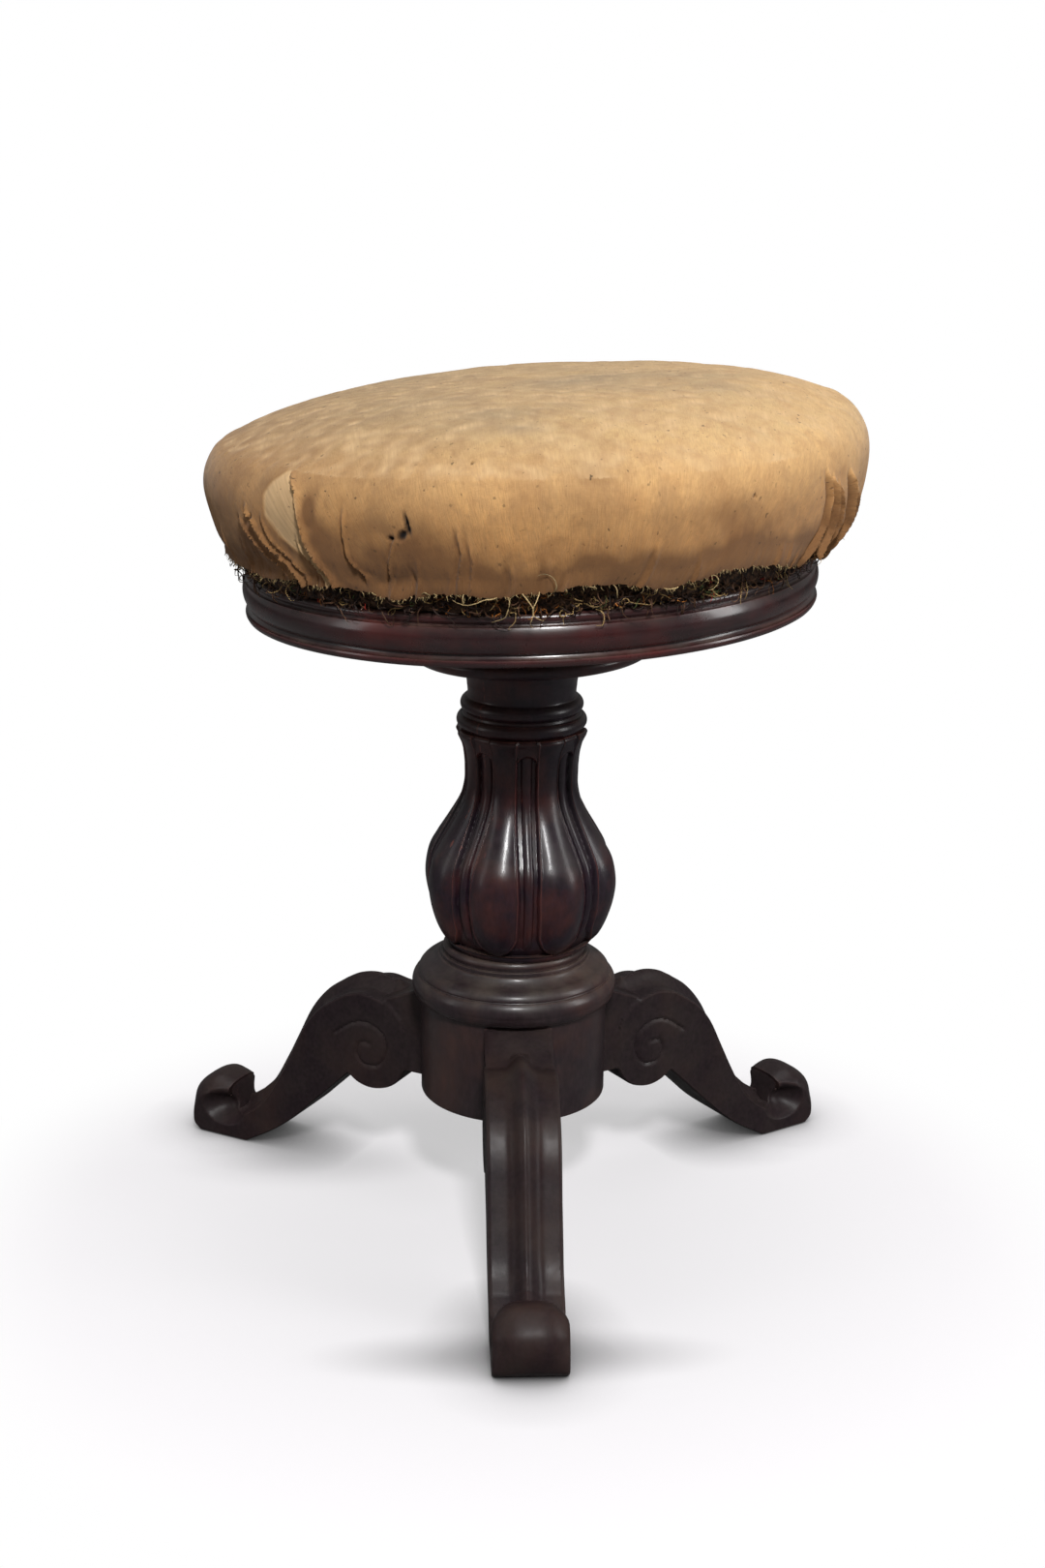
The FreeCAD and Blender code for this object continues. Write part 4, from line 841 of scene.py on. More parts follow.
def cushion_surface(angles, shares, inset=0.0, hem_jitter=0.0):
    """Points of the cushion over the angles and the shares of the way from its crown to its hem."""
    line = dome_line()
    way = np.concatenate([[0], np.cumsum(np.linalg.norm(np.diff(line, axis=0), axis=1))])
    slope = unit(np.gradient(line, axis=0))
    hem = np.interp(angles, *np.array(HEM, float).T) + HEM_LIFT + hem_jitter
    ends = np.interp(-hem, -line[:, 1], way)
    place = shares[:, None] * ends[None, :]
    reach, height, along, drop = (np.interp(place, way, values) for values in (*line.T, *slope.T))
    around = np.radians(angles)
    ways = polar(-drop, around, along)
    points = polar(reach, around, height) - ways * inset
    high = np.clip((points[..., 2] - RAIL_TOP - RISE_START) / (CROWN - RAIL_TOP), 0, 1)
    side = points[..., 0] / WIDEST
    points[..., 0] += cushion_shift(points) - CROWN_SHIFT * high
    right_rise = RIGHT_RISE * np.clip(side, 0, 1) ** 2 * high
    points[..., 2] += SIDE_RISE * side * np.clip(high * RISE_SPEED, 0, 1) + right_rise
    return points, ways, place


def cushion_shift(points):
    """How far the cushion sits to the right of the rail, from none at the rail's top."""
    return CUSHION_SHIFT * soft_step(points[..., 2], RAIL_TOP, RAIL_TOP + 24)


def blurred(field, reach, rounds):
    """A field smoothed round the seat and along the way down."""
    for _ in range(rounds):
        rows = np.concatenate([field[:1].repeat(reach, 0), field, field[-1:].repeat(reach, 0)])
        field = sum(rows[step:step + len(field)] for step in range(2 * reach + 1)) / (2 * reach + 1)
        field = sum(np.roll(field, step, axis=1) for step in range(-reach, reach + 1)) / (2 * reach + 1)
    return field


def settled_cloth():
    """How far a loose cover, tacked at its hem, lifts in folds as it settles over the stuffing."""
    angles = np.arange(TRIAL_COLUMNS) * 360.0 / TRIAL_COLUMNS - 180
    shares = np.linspace(TRIAL_START, 1, TRIAL_ROWS)
    points, ways, _ = cushion_surface(angles, shares)
    mesh = mesh_from("cover_trial", points * MM, [grid_faces(TRIAL_ROWS, TRIAL_COLUMNS)])
    trial = bpy.data.objects.new("cover_trial", mesh)
    scene = bpy.context.scene
    scene.collection.objects.link(trial)
    pins = trial.vertex_groups.new(name="pins")
    loose = trial.vertex_groups.new(name="loose")
    swell = np.sin(np.radians(angles * 2 + 30)) + 0.4 * np.sin(np.radians(angles * 5))
    fullness = LEAST_FULLNESS + (1 - LEAST_FULLNESS) * np.clip(swell, 0, 1)
    for row, share in enumerate(shares):
        slack = float(soft_step(share, *LOOSE_START))
        for column in range(TRIAL_COLUMNS):
            point = row * TRIAL_COLUMNS + column
            loose.add([point], slack * float(fullness[column]), "REPLACE")
            if row in (0, TRIAL_ROWS - 1):
                pins.add([point], 1.0, "REPLACE")
    cloth = trial.modifiers.new("cloth", "CLOTH")
    for field, value in CLOTH.items():
        setattr(cloth.settings, field, value)
    cloth.settings.effector_weights.gravity = 0.0
    cloth.collision_settings.use_collision = False
    cloth.point_cache.frame_start, cloth.point_cache.frame_end = 1, CLOTH_FRAMES
    for number in range(1, CLOTH_FRAMES + 1):
        scene.frame_set(number)
    shaped = trial.evaluated_get(bpy.context.evaluated_depsgraph_get()).data
    moved = np.empty(len(shaped.vertices) * 3, np.float32)
    shaped.vertices.foreach_get("co", moved)
    scene.frame_set(1)
    bpy.data.objects.remove(trial)
    lift = ((moved.reshape(points.shape) / MM - points) * ways).sum(axis=-1)
    lift = np.clip(lift, -CLOTH_CAP, CLOTH_CAP)
    return lift - blurred(lift, *SWELL_BLUR)


def sampled(field, angles, shares):
    """A field of the trial cover read at other angles and shares of the way down."""
    across = (angles + 180) / 360 * TRIAL_COLUMNS
    down = np.clip((shares - TRIAL_START) / (1 - TRIAL_START), 0, 1) * (TRIAL_ROWS - 1)
    left, top = np.floor(across).astype(int), np.minimum(np.floor(down).astype(int), TRIAL_ROWS - 2)
    part_across, part_down = across - left, (down - top)[:, None]
    upper, lower = (field[row][:, left % TRIAL_COLUMNS] * (1 - part_across)
                    + field[row][:, (left + 1) % TRIAL_COLUMNS] * part_across for row in (top, top + 1))
    return upper * (1 - part_down) + lower * part_down


def crease_lift(angles, height, line, rise, width, lap):
    """A ridge down a line of (angle, height), with a valley to its left, darkened by painted shade, and a lap
    to its right.
    """
    line = np.array(sorted(line, key=lambda point: point[1]), float)
    centre = np.interp(height, line[:, 1], line[:, 0])
    across = np.radians(angles - centre) * WIDEST
    low, high = line[0, 1], line[-1, 1]
    fade = soft_step(height, low - 7, low) * (1 - soft_step(height, high - 5, high + 5))
    right_lap = np.exp(-np.clip(across, 0, None) / lap) * (across > 0)
    left_lap = soft_step(across, -width, 0) * (across <= 0)
    ridge = np.exp(-(across / width) ** 2) + LAP_SHARE * right_lap + LAP_SHARE * left_lap
    valley = np.exp(-((across + VALLEY_OFF * width) / (VALLEY_WIDTH * width)) ** 2)
    lift = CREASE_HEIGHT * rise * fade * (ridge * RIDGE_SHARE - VALLEY_DEPTH * valley)
    # The second value is the painted shade that darkens the valley
    return lift, min(rise / 2, 1) * fade * valley


def spot(angles, height, centre, up, half_across, half_up, lean=0.0):
    """How near points are to a spot's middle: 1 there and 0 well outside."""
    across = np.radians(angles - centre) * WIDEST
    rise = height - up
    return np.exp(-((across - lean * rise) / half_across) ** 2 - (rise / half_up) ** 2)


def cover_marks(points, angles, edge_share):
    """The cover's colours as amounts of stain with painted shade, dirt and pale lining, and its holes."""
    height = points[..., 2]
    slow = unevenness(points, 30, 0.03, 0.14, 1.0)
    quick = unevenness(points, 60, 0.2, 0.7, 1.0)
    stain_and_shadow = sum(amount * spot(angles, height, *place) for *place, amount in STAINS_AND_SHADOWS)
    stain_and_shadow = stain_and_shadow * (1 + 0.45 * slow + 0.3 * quick)
    dirt = sum(amount * np.exp(-((points[..., 0] - x) / wide) ** 2 - ((points[..., 1] - y) / deep) ** 2)
               for x, y, wide, deep, amount in DIRT) * soft_step(height, *DIRT_UP)
    dirt = dirt * (1 + 0.5 * slow + 0.4 * quick)
    ups, lefts, rights = np.array(sorted(LINING), float).T
    inside = np.minimum(angles - np.interp(height, ups, lefts), np.interp(height, ups, rights) - angles)
    inside = inside * (height < ups[-1]) * (height > LINING_FOOT)
    lining = soft_step(inside + 0.25 * quick, *LINING_FADE)
    hole = sum(spot(angles, height, *place) for place in HOLES)
    hole = np.clip(hole * HOLE_OPENING + 0.25 * quick - HOLE_EDGE, 0, 1)
    # Darker towards the hem: soil and painted shade
    soil_and_shadow = soft_step(edge_share, SOIL_AND_SHADOW_START, 1.0) ** SOIL_AND_SHADOW_POWER * (0.8 + 0.4 * slow + 0.15 * quick)
    soil_and_shadow += soft_step(edge_share, *SOIL_AND_SHADOW_HEM) * (0.45 + 0.25 * slow)
    return np.clip(stain_and_shadow + soil_and_shadow, 0, 1), np.clip(dirt, 0, 1), lining, hole


def make_cover():
    front = np.linspace(*FRONT_ANGLES, FRONT_COLUMNS, endpoint=False)
    back = np.linspace(FRONT_ANGLES[1], FRONT_ANGLES[0] + 360, BACK_COLUMNS, endpoint=False)
    angles = np.concatenate([front, (back + 180) % 360 - 180])
    near = SHOULDER_WAY / COVER_WAY
    shares = np.concatenate([np.linspace(CROWN_SHARE, near, TOP_ROWS, endpoint=False),
                             np.linspace(near, 1, SIDE_ROWS)])
    columns = len(angles)
    around = np.radians(angles)
    jitter = DRAWS.normal(0, HEM_RANDOM, columns)
    jitter += HEM_SCALLOP * np.sin(around * SCALLOPS[0]) * np.sin(around * SCALLOPS[1])
    points, ways, place = cushion_surface(angles, shares, hem_jitter=jitter)
    height = points[..., 2].copy()
    lift = sampled(settled_cloth(), angles, shares)
    lift = blurred(lift, 1, 1) * (FOLDS_ABOVE + (1 - FOLDS_ABOVE) * soft_step(shares, *FOLDS_START))[:, None]
    painted_shadow = np.zeros_like(lift)
    creases = list(CREASES)
    for _ in range(PUCKERS):
        foot = DRAWS.uniform(-180, 180)
        top_up = DRAWS.uniform(80, 96)
        lean = DRAWS.normal(0, 1.2)
        creases.append(([(foot, 70), (foot + lean, top_up)], DRAWS.uniform(0.3, 0.9), DRAWS.uniform(0.7, 1.5),
                        DRAWS.uniform(1.5, 4)))
    for crease in creases:
        raised, painted_valley_shadow = crease_lift(angles, height, *crease)
        lift += raised
        painted_shadow += painted_valley_shadow
    swell = 0.45 + 0.55 * soft_step(shares, 0.3, 0.7)
    lift += unevenness(points, 40, 0.02, 0.09, 1.1) * swell[:, None]
    lift += unevenness(points, 60, 0.12, 0.4, 0.16)
    edge_share = np.repeat(shares[:, None], columns, axis=1)
    stain_and_shadow, dirt, lining, hole = cover_marks(points, angles, edge_share)
    # The painted shade of the crease valleys joins the stains
    stain_and_shadow = np.clip(stain_and_shadow + CREASE_SHADE * painted_shadow, 0, 1)
    lift -= LINING_DEPTH * lining + HOLE_DEPTH * hole
    # The torn edge turns out a little, unevenly
    turned_out = unevenness(points[-1], 20, 0.05, 0.25, 1.6) + EDGE_TURN
    lift += soft_step(edge_share, EDGE_TURN_START, 1.0) * turned_out
    points = points + ways * lift[..., None]
    # The back of the cloth shows at the torn edge
    back_rows = slice(None, -TURNED_EDGE_ROWS - 1, -1)
    crown = points[0].mean(axis=0)
    sheet = np.concatenate([points, points[back_rows] - ways[back_rows] * CLOTH_THICKNESS])
    mesh = mesh_from("torn_cover", np.concatenate([sheet.reshape(-1, 3), crown[None]]),
                     [grid_faces(len(sheet), columns)[:, ::-1], end_fans(len(sheet), columns)[0]], 60)
    marks = np.stack([stain_and_shadow, dirt, lining, hole], axis=-1)
    inner_marks = marks[back_rows].copy()
    inner_marks[..., 0] = 1.0
    marks = np.concatenate([marks, inner_marks]).reshape(-1, 4)
    marks = np.concatenate([marks, marks[:1]])
    add_layer(mesh, "marks", "FLOAT_COLOR", np.concatenate([marks[:, :3], np.ones((len(marks), 1))], axis=1))
    add_layer(mesh, "hole", "FLOAT", marks[:, 3])
    flat = polar(place, around, 0) * MM
    flat = np.concatenate([flat, flat[back_rows]]).reshape(-1, 3)
    add_layer(mesh, "flat", "FLOAT_VECTOR", np.concatenate([flat, np.zeros((1, 3))]))
    cloth = cotton_cloth()
    thing = make_object("torn_cover", mesh, seat_matrix(), cloth, "seat", "cotton_cover", "seat_cover")
    return angles, points[-1]


# The side's colours start below the dome: the heights of this change, in millimetres over the seat's foot
SIDE_COLOURS = (150, 100)
# The cotton is painted lighter towards the right, as painted light from that side: where this starts and
# ends, in metres, and its levels there
PAINTED_LIGHT_ACROSS = (-0.17, 0.17)
PAINTED_LIGHT_LEVELS = (0.74, 1.3)


def cotton_cloth():
    """Worn tan cotton: streaks along the warp, blotches with darker rims, specks, painted light from the
    right, and what the marks say.
    """
    made = Nodes("worn_cotton")
    flat = made.attribute("flat", "Vector")
    marks = made.add("ShaderNodeSeparateColor", Color=made.attribute("marks", "Color"))
    stain_and_shadow, dirt, lining = (marks.outputs[part] for part in ("Red", "Green", "Blue"))

    def pattern(across, down, detail, rough, distortion=0.0):
        return made.noise(1.0, detail, rough, made.stretched((across, down, 1), flat), distortion)

    def blend(share, stops, *colours):
        return made.mix(made.ramp(share, stops), *colours)

    place = made.add("ShaderNodeSeparateXYZ", Vector=made.place)
    low = made.spread(place.outputs["Z"], [(SEAT_HEIGHT + height) * MM for height in SIDE_COLOURS])
    warp = pattern(1900, 150, 3, 0.6)
    weft = pattern(170, 1700, 3, 0.6)
    slubs = pattern(620, 34, 2, 0.5)
    broad = made.ramp(pattern(14, 11, 5, 0.6), [(0.35, 0.0), (0.68, 1.0)])
    top = made.mix(broad, (0.55, 0.36, 0.16), (0.43, 0.295, 0.145))
    side = made.mix(broad, (0.75, 0.375, 0.13), (0.6, 0.3, 0.105))
    colour = made.mix(low, top, side)
    wear = [
        (slubs, [(0.45, 0.0), (0.75, 0.25)], (0.62, 0.4, 0.19)),
        (warp, [(0.3, 0.45), (0.58, 0.0)], (0.3, 0.17, 0.07)),
        (pattern(190, 120, 6, 0.75, 0.5), [(0.5, 0.0), (0.72, 0.55)], (0.33, 0.17, 0.07)),
        (pattern(38, 30, 6, 0.62, 0.4), [(0.5, 0.0), (0.57, 0.24), (0.62, 0.1), (0.8, 0.26)],
         (0.26, 0.14, 0.06)),
        (pattern(70, 52, 8, 0.7, 0.8), [(0.44, 0.0), (0.7, 0.62)], (0.34, 0.19, 0.085)),
    ]
    for share, stops, worn in wear:
        colour = blend(share, stops, colour, worn)
    patches = made.ramp(pattern(22, 30, 7, 0.66, 0.6), [(0.47, 0.0), (0.64, 0.6)])
    colour = made.mix(made.maths("MULTIPLY", patches, low), colour, (0.36, 0.17, 0.06))
    # Painted light: the cotton is darker to the left and lighter to the right
    painted_light = made.spread(place.outputs["X"], PAINTED_LIGHT_ACROSS, PAINTED_LIGHT_LEVELS)
    colour = made.add("ShaderNodeHueSaturation", Color=colour, Value=painted_light).outputs["Color"]
    pale = blend(slubs, [(0.3, 0.0), (0.7, 1.0)], (0.72, 0.49, 0.26), (0.52, 0.34, 0.17))
    # The first mark darkens with stains and with the painted shade of the crease valleys and the hem
    for mark, strength, tint in [(stain_and_shadow, 0.8, (0.15, 0.066, 0.026)), (dirt, 0.7, (0.2, 0.165, 0.11)),
                                 (lining, 0.8, pale)]:
        colour = made.mix(made.maths("MULTIPLY", mark, strength), colour, tint)
    specks = made.ramp(pattern(260, 210, 2, 0.5), [(0.67, 0.0), (0.72, 0.85)])
    where = made.ramp(pattern(20, 20, 3, 0.5), [(0.35, 0.2), (0.65, 1.0)])
    colour = made.mix(made.maths("MULTIPLY", specks, where), colour, (0.06, 0.035, 0.018))
    colour = made.mix(made.attribute("hole"), colour, (0.006, 0.004, 0.004))
    made.set("Base Color", colour)
    made.set("Roughness", 0.85)
    made.set("Specular IOR Level", 0.25)
    made.set("Sheen Weight", 0.12)
    weave = made.maths("ADD", warp, made.maths("MULTIPLY", weft, 0.6))
    made.set("Normal", made.bump(slubs, 0.15, 0.0004, made.bump(weave, 0.6, 0.0004)))
    return made.material


# Stuffing and loose fibre

HAIR_DEPTH = 5.5
STRANDS = 760
FRAYS = 420
STRAND_POINTS = 14
STRAND_SIDES = 4
STRAND_TAPER = 0.75
# A way that no strand runs along, from which its sides are found
ASIDE = np.array([0.31, 0.23, 0.92])
STUFFING_COLUMNS = 540
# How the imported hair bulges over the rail: reach and height
BULGE = [(167.6, 73.0), (168.6, 69.5), (168.8, 66.4), (167.4, 63.4), (165.0, RAIL_TOP + 0.8),
         (158.0, RAIL_TOP + 0.2)]
# The hair's lumps fade out between these heights, and stay this far over the rail's top
LUMPS_UP = (74, 80)
HAIR_OVER_RAIL = 0.15
# Loose fibre stays this far over the rail's top, in these reaches beside the rail and above it, and no lower
# than this below the rail's top
RAIL_EDGE, STRAND_OVER_RAIL = 168.2, 0.4
REACH_BESIDE, REACH_ABOVE = (168.9, 171.5), (166.5, 176)
STRAND_DROP = 7
STRAND_SAG = 0.05
# The ring on which the paths of threads are worked out
THREAD_RING = 170.5
LONG_THREAD = 0.36
LEVEL = np.array([1, 1, 0])
IN_FRONT = 0.45
ROOT_REACH, ROOT_UP = (167.5, 169.5), (RAIL_TOP + 1, RAIL_TOP + 12)
THREAD_COLOUR = np.array([0.5, 0.36, 0.17])
# Kinds of fibre: share, colour, least and greatest length, curl in degrees a step, half thickness
FIBRES = [
    (0.34, (0.03, 0.016, 0.012), 9, 24, 30, 0.42),
    (0.42, (0.12, 0.056, 0.028), 8, 22, 28, 0.46),
    (0.16, (0.42, 0.27, 0.11), 6, 18, 24, 0.34),
    (0.04, (0.5, 0.17, 0.035), 4, 12, 26, 0.32),
    (0.025, (0.13, 0.17, 0.06), 4, 12, 30, 0.3),
    (0.015, (0.4, 0.03, 0.02), 3, 8, 30, 0.34),
]
# Clumps of coloured fibre: angle, number, the kind and its spread in degrees
CLUMPS = [(-91.7, 16, 3, 1.8), (-106.2, 12, 3, 2.0), (-83.0, 10, 2, 3.0), (-97.0, 10, 2, 3.0),
          (-58.6, 18, 4, 1.2), (-58.0, 14, 5, 0.7), (-60.0, 10, 2, 1.4), (-99.0, 8, 3, 2.0),
          (-76.0, 8, 2, 3.0)]
# Long pale threads of the torn edge: angle, length and curl
THREADS = [(-99.6, 30, 16), (-97.8, 22, 26), (-95.5, 26, 20), (-92.8, 20, 24), (-90.6, 24, 16),
           (-120.6, 9, 30), (-111.0, 10, 28), (-105.2, 12, 24), (-68.5, 16, 20), (-63.0, 20, 18),
           (-80.4, 15, 24), (-84.6, 12, 30)]


def make_stuffing():
    """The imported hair: it fills the cover and bulges out at the torn hem, down to the rail."""
    angles = np.arange(STUFFING_COLUMNS) * 360.0 / STUFFING_COLUMNS - 180
    shares = np.concatenate([np.linspace(0.01, 0.8, 40, endpoint=False), np.linspace(0.8, 0.985, 14)])
    dome, _, _ = cushion_surface(angles, shares, inset=HAIR_DEPTH)
    reach, height = np.array(BULGE).T[..., None]
    ring = polar(reach, np.radians(angles), height)
    ring[..., 0] += cushion_shift(ring)
    points = np.concatenate([dome, ring])
    out = unit(points[..., :2])
    lumps = unevenness(points, 60, 0.1, 0.5, 1.7) + unevenness(points, 80, 0.6, 1.6, 0.8)
    low = 1 - soft_step(points[..., 2], *LUMPS_UP)
    points[..., :2] += out * (lumps * low)[..., None]
    raised = np.maximum(points[..., 2], RAIL_TOP + HAIR_OVER_RAIL)
    points[..., 2] = np.where(points[..., 2] < RAIL_TOP + 3, raised, points[..., 2])
    mesh = closed_mesh("packed_hair", points, sharp=70)
    make_object("packed_hair", mesh, seat_matrix(), horsehair(), "seat", "horsehair", "stuffing", "edge_roll")


def horsehair():
    made = Nodes("packed_horsehair")
    clumps = made.noise(220, 6, 0.7, distortion=1.2)
    hairs = made.noise(1400, 3, 0.6, made.stretched((1, 1, 0.5)), 2.0)
    colour = made.mix(made.ramp(clumps, [(0.4, 0.0), (0.7, 1.0)]), (0.016, 0.009, 0.007), (0.15, 0.075, 0.04))
    bits = made.ramp(made.noise(330, 4, 0.7), [(0.56, 0.0), (0.66, 0.6)])
    made.set("Base Color", made.mix(bits, colour, (0.3, 0.155, 0.065)))
    made.set("Roughness", 0.75)
    made.set("Specular IOR Level", 0.3)
    made.set("Normal", made.bump(hairs, 0.8, 0.0008, made.bump(clumps, 0.8, 0.0016)))
    return made.material


def fibre():
    made = Nodes("loose_fibre")
    made.set("Base Color", made.attribute("tint", "Color"))
    made.set("Roughness", 0.6)
    made.set("Specular IOR Level", 0.35)
    return made.material


def turned_about_axis(vectors, axes, angle):
    cosine, sine = np.cos(angle)[:, None], np.sin(angle)[:, None]
    dot = (vectors * axes).sum(axis=-1)[:, None]
    return vectors * cosine + np.cross(axes, vectors) * sine + axes * dot * (1 - cosine)


def grown(starts, ways, lengths, curls):
    """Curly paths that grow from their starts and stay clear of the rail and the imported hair."""
    step = (lengths / (STRAND_POINTS - 1))[:, None]
    axes = unit(DRAWS.normal(size=starts.shape))
    paths = [starts]
    ways = unit(ways)
    floor = RAIL_TOP + STRAND_OVER_RAIL
    for _ in range(STRAND_POINTS - 1):
        axes = unit(axes + DRAWS.normal(0, 0.35, starts.shape))
        ways = unit(turned_about_axis(ways, axes, np.radians(curls)))
        ways[:, 2] -= STRAND_SAG
        place = paths[-1] + ways * step
        reach = np.linalg.norm(place[:, :2], axis=1)
        out = place[:, :2] / reach[:, None]
        over_rail = (reach < RAIL_EDGE) & (place[:, 2] < floor)
        place[:, 2] = np.where(over_rail, floor, place[:, 2])
        beside_rail = (place[:, 2] < floor) & (reach >= RAIL_EDGE)
        reach = np.where(beside_rail, np.clip(reach, *REACH_BESIDE), np.clip(reach, *REACH_ABOVE))
        place[:, 2] = np.maximum(place[:, 2], RAIL_TOP - STRAND_DROP)
        place[:, :2] = out * reach[:, None]
        paths.append(place)
    return np.stack(paths, axis=1)


def strands_mesh(name, paths, thickness, tints):
    """Thin tapering tubes along paths, all in one mesh with a colour for each."""
    count, steps, _ = paths.shape
    along = unit(np.gradient(paths, axis=1))
    side = unit(np.cross(along, ASIDE))
    other = np.cross(along, side)
    taper = 1 - STRAND_TAPER * (np.arange(steps) / (steps - 1)) ** 2
    turns = np.arange(STRAND_SIDES) * 2 * math.pi / STRAND_SIDES
    thick = thickness[:, None, None, None] * taper[None, :, None, None]
    rings = paths[:, :, None, :] + thick * (side[:, :, None, :] * np.cos(turns)[:, None]
                                            + other[:, :, None, :] * np.sin(turns)[:, None])
    one = grid_faces(steps, STRAND_SIDES)
    faces = (one[None] + (np.arange(count) * steps * STRAND_SIDES)[:, None, None]).reshape(-1, 4)
    mesh = mesh_from(name, rings.reshape(-1, 3), [faces], 180)
    tint = np.repeat(np.concatenate([tints, np.ones((count, 1))], axis=1), steps * STRAND_SIDES, axis=0)
    add_layer(mesh, "tint", "FLOAT_COLOR", tint)
    return mesh


def make_fibres():
    """Curly hair and coloured waste fibre that stick out between the torn hem and the rail."""
    shares = np.array([kind[0] for kind in FIBRES])
    kinds = DRAWS.choice(len(FIBRES), STRANDS, p=shares / shares.sum())
    angles = DRAWS.uniform(-180, 180, STRANDS)
    in_front = DRAWS.random(STRANDS) < IN_FRONT
    angles = np.where(in_front, DRAWS.uniform(*FRONT_ANGLES, STRANDS), angles)
    for angle, number, kind, spread in CLUMPS:
        kinds = np.concatenate([kinds, np.full(number, kind)])
        angles = np.concatenate([angles, DRAWS.normal(angle, spread, number)])
    count = len(kinds)
    shortest, longest, curl, thick = np.array([kind[2:] for kind in FIBRES], float)[kinds].T
    lengths = DRAWS.uniform(shortest, longest)
    out = polar(1, np.radians(angles), 0)
    along = np.stack([-out[:, 1], out[:, 0], out[:, 2]], axis=1)
    starts = out * DRAWS.uniform(*ROOT_REACH, count)[:, None]
    starts[:, 2] = DRAWS.uniform(*ROOT_UP, count)
    ways = out * DRAWS.uniform(0.2, 1.0, count)[:, None] + along * DRAWS.normal(0, 1.0, count)[:, None]
    ways[:, 2] = DRAWS.normal(-0.1, 0.5, count)
    paths = grown(starts, ways, lengths, curl * DRAWS.uniform(0.5, 1.4, count))
    tints = np.array([kind[1] for kind in FIBRES])[kinds] * DRAWS.uniform(0.55, 1.35, (count, 1))
    mesh = strands_mesh("loose_hair", paths, thick * DRAWS.uniform(0.7, 1.3, count), tints)
    make_object("loose_hair", mesh, seat_matrix(), FIBRE, "seat", "horsehair")


def make_threads(edge_angles, edge):
    """Frayed threads along the cover's torn edge, and some long ones that hang from it."""
    picks = DRAWS.integers(0, len(edge_angles), FRAYS)
    starts = edge[picks]
    out = unit(starts * LEVEL)
    along = np.stack([-out[:, 1], out[:, 0], out[:, 2]], axis=1)
    ways = out * DRAWS.uniform(-0.1, 0.5, FRAYS)[:, None] + along * DRAWS.normal(0, 0.6, FRAYS)[:, None]
    ways[:, 2] = DRAWS.uniform(-1.2, -0.4, FRAYS)
    lengths = DRAWS.uniform(0.8, 3.6, FRAYS)
    curls = DRAWS.uniform(2, 14, FRAYS)
    for angle, length, curl in THREADS:
        start = edge[np.abs(edge_angles - angle).argmin()]
        way = unit(start * LEVEL) * 0.9 + [0, 0, DRAWS.uniform(-0.2, 0.8)]
        starts, ways = np.concatenate([starts, start[None]]), np.concatenate([ways, way[None]])
        lengths, curls = np.append(lengths, length), np.append(curls, curl)
    count = len(starts)
    # The paths grow on the ring of the loose fibre, so that threads bend as it does
    ring = unit(starts * LEVEL) * THREAD_RING + starts * (1 - LEVEL)
    paths = starts[:, None, :] + (grown(ring, ways, lengths, curls) - ring[:, None, :])
    tints = THREAD_COLOUR * DRAWS.uniform(0.5, 1.25, (count, 1))
    thickness = DRAWS.uniform(0.1, 0.22, count)
    thickness[FRAYS:] = LONG_THREAD
    mesh = strands_mesh("torn_threads", paths, thickness, tints)
    make_object("torn_threads", mesh, seat_matrix(), FIBRE, "seat", "cotton_cover")


FIBRE = fibre()
make_stuffing()
torn_angles, torn_edge = make_cover()
make_fibres()
make_threads(torn_angles, torn_edge)


# Camera, lamps and floor


def make_camera():
    data = bpy.data.cameras.new("camera")
    data.sensor_width = SENSOR
    data.lens = FOCAL_PX / PHOTO_HEIGHT_PX * SENSOR
    data.clip_start, data.clip_end = 0.05, 20
    camera = bpy.data.objects.new("camera", data)
    bpy.context.scene.collection.objects.link(camera)
    heading = CAMERA_SIDE + CAMERA_PAN
    turn = (Matrix.Rotation(-heading, 4, "Z") @ Matrix.Rotation(math.pi / 2 - CAMERA_PITCH, 4, "X")
            @ Matrix.Rotation(CAMERA_ROLL, 4, "Z"))
    place = Vector((-CAMERA_DISTANCE * math.sin(CAMERA_SIDE),
                    AXIS_Y - CAMERA_DISTANCE * math.cos(CAMERA_SIDE), CAMERA_HEIGHT)) * MM
    camera.matrix_world = Matrix.Translation(place) @ turn
    bpy.context.scene.camera = camera


def make_lamp(name, place, target, size, power):
    data = bpy.data.lights.new(name, "AREA")
    data.shape = "RECTANGLE"
    data.size, data.size_y = size
    data.energy = power
    lamp = bpy.data.objects.new(name, data)
    bpy.context.scene.collection.objects.link(lamp)
    lamp.location = place
    lamp.rotation_euler = (Vector(target) - Vector(place)).to_track_quat("-Z", "Y").to_euler()


AMBIENT = 0.16
FLOOR_HALF = 6.0
FLOOR_DROP = 0.0003
# The floor's grey round under the stool, a painted shadow: its middle, where it starts and ends to turn
# white, in metres
SHADE_MIDDLE = (0.0, -0.04, 0.0)
SHADE_REACH = (0.26, 0.385)
# The floor's level where the camera sees it and where it lights the object, and its own glow
FLOOR_SEEN, FLOOR_BOUNCE, FLOOR_GLOW = 0.5, 0.16, 0.46
# The floor's green against its red and blue
FLOOR_GREEN = 0.96
# How near to a foot the floor darkens with painted contact shadow, and how strongly
CONTACT_REACH, CONTACT_POWER = 0.045, 1.1
# Soft ovals of painted shadow beside the feet: middle, half widths and depth
FLOOR_SHADES = [((-0.13, 0.066), (0.11, 0.045), 0.22), ((-0.005, -0.181), (0.135, 0.036), 0.5)]


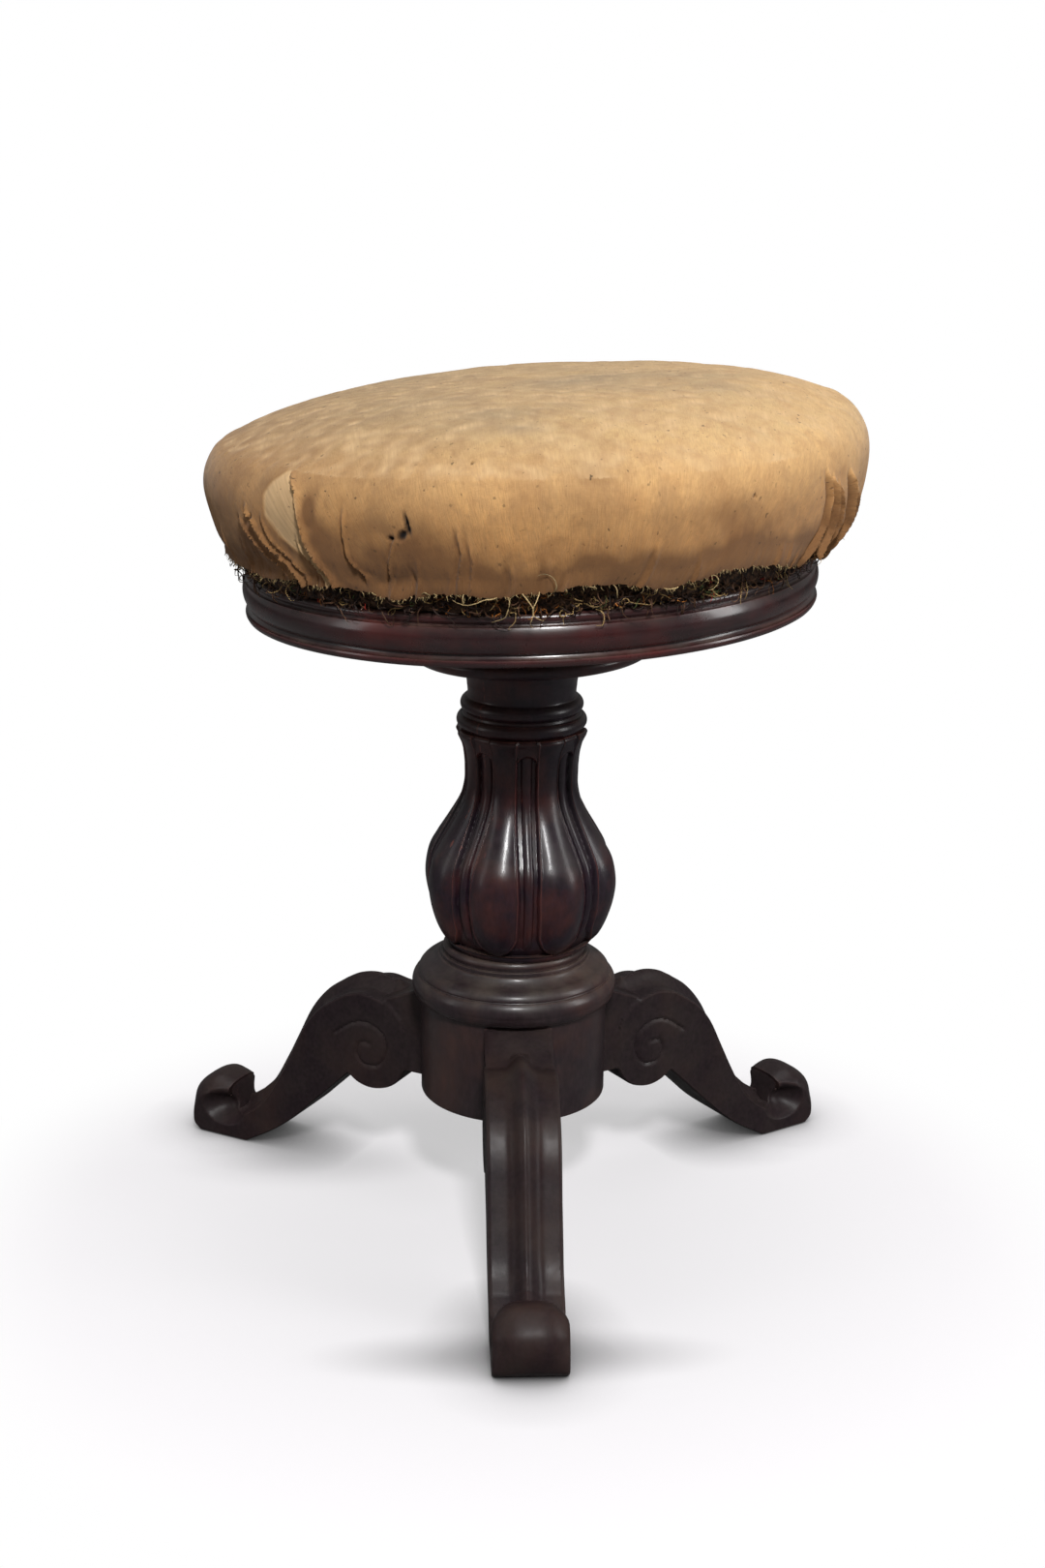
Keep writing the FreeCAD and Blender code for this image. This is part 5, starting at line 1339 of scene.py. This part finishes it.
def make_world():
    """White where the camera sees it, also through glass, and a plain level of light on the object."""
    world = bpy.data.worlds.new("studio")
    bpy.context.scene.world = world
    world.use_nodes = True
    made = Tree(world.node_tree)
    background = made.tree.nodes["Background"]
    background.inputs["Color"].default_value = (1, 1, 1, 1)
    path = made.add("ShaderNodeLightPath").outputs
    seen = made.maths("MAXIMUM", path["Is Camera Ray"], path["Is Transmission Ray"])
    made.feed(made.spread(seen, target=(AMBIENT, 1.0)), background.inputs["Strength"])


def shade_left(made, middle, reach, depth):
    """The share of light left in a soft oval of painted shadow on the floor."""
    (x, y), (wide, deep) = middle, reach
    away = made.distance(made.stretched((1 / wide, 1 / deep, 0)), (x / wide, y / deep, 0.0))
    return made.spread(away, target=(1 - depth, 1), way="SMOOTHSTEP")


def make_floor():
    """A white floor that keeps the object's shadow, with a painted grey round of shadow under the stool,
    painted contact shadow and painted ovals of shadow beside the feet.
    """
    points = [(x * FLOOR_HALF, y * FLOOR_HALF, 0) for x, y in ((-1, -1), (1, -1), (1, 1), (-1, 1))]
    mesh = bpy.data.meshes.new("floor")
    mesh.from_pydata(points, [], [(0, 1, 2, 3)])
    floor = bpy.data.objects.new("floor", mesh)
    bpy.context.scene.collection.objects.link(floor)
    floor.location.z = -FLOOR_DROP
    made = Nodes("white_floor")
    seen = made.add("ShaderNodeLightPath").outputs["Is Camera Ray"]
    # Painted contact shadow: occlusion near the feet darkens the floor's colour and its glow
    light_under_painted_shadows = made.add("ShaderNodeAmbientOcclusion", Distance=CONTACT_REACH).outputs["AO"]
    light_under_painted_shadows = made.maths("POWER", light_under_painted_shadows, CONTACT_POWER)
    # The painted ovals of shadow darken the floor further
    for painted_shadow in FLOOR_SHADES:
        light_under_painted_shadows = made.maths("MULTIPLY", light_under_painted_shadows, shade_left(made, *painted_shadow))
    lit = made.mix(light_under_painted_shadows, (0.0, 0.0, 0.0), (FLOOR_SEEN, FLOOR_SEEN * FLOOR_GREEN, FLOOR_SEEN))
    made.set("Base Color", made.mix(seen, (FLOOR_BOUNCE,) * 3, lit))
    made.set("Roughness", 0.9)
    made.set("Specular IOR Level", 0.1)
    made.set("Emission Color", (1, 1, 1, 1))
    glow = made.maths("MULTIPLY", made.maths("MULTIPLY", seen, light_under_painted_shadows), FLOOR_GLOW)
    made.set("Emission Strength", glow)
    # Inside the grey round the camera sees the floor darker than the white beyond: a painted shadow under the
    # stool
    away = made.spread(made.distance(made.place, SHADE_MIDDLE), SHADE_REACH, way="SMOOTHSTEP")
    white = made.add("ShaderNodeEmission", Color=(1, 1, 1, 1), Strength=1.0)
    blend = made.add("ShaderNodeMixShader")
    made.feed(made.maths("MULTIPLY", away, seen), blend.inputs[0])
    made.feed(made.shader.outputs[0], blend.inputs[1])
    made.feed(white.outputs[0], blend.inputs[2])
    made.feed(blend.outputs[0], made.tree.nodes["Material Output"].inputs["Surface"])
    mesh.materials.append(made.material)


make_camera()
make_world()
make_floor()
make_lamp("key", place=(0.08, -1.65, 1.75), target=(0, 0, 0.35), size=(0.25, 0.32), power=36)
make_lamp("left", place=(-2.0, -0.5, 0.9), target=(0, 0, 0.3), size=(0.5, 1.4), power=4)
make_lamp("right", place=(2.0, -0.5, 1.0), target=(0, 0, 0.3), size=(0.5, 1.4), power=15)
make_lamp("top", place=(0, 0.3, 2.4), target=(0, 0, 0.3), size=(1.4, 1.4), power=20)

bpy.context.scene.view_settings.view_transform = "Standard"
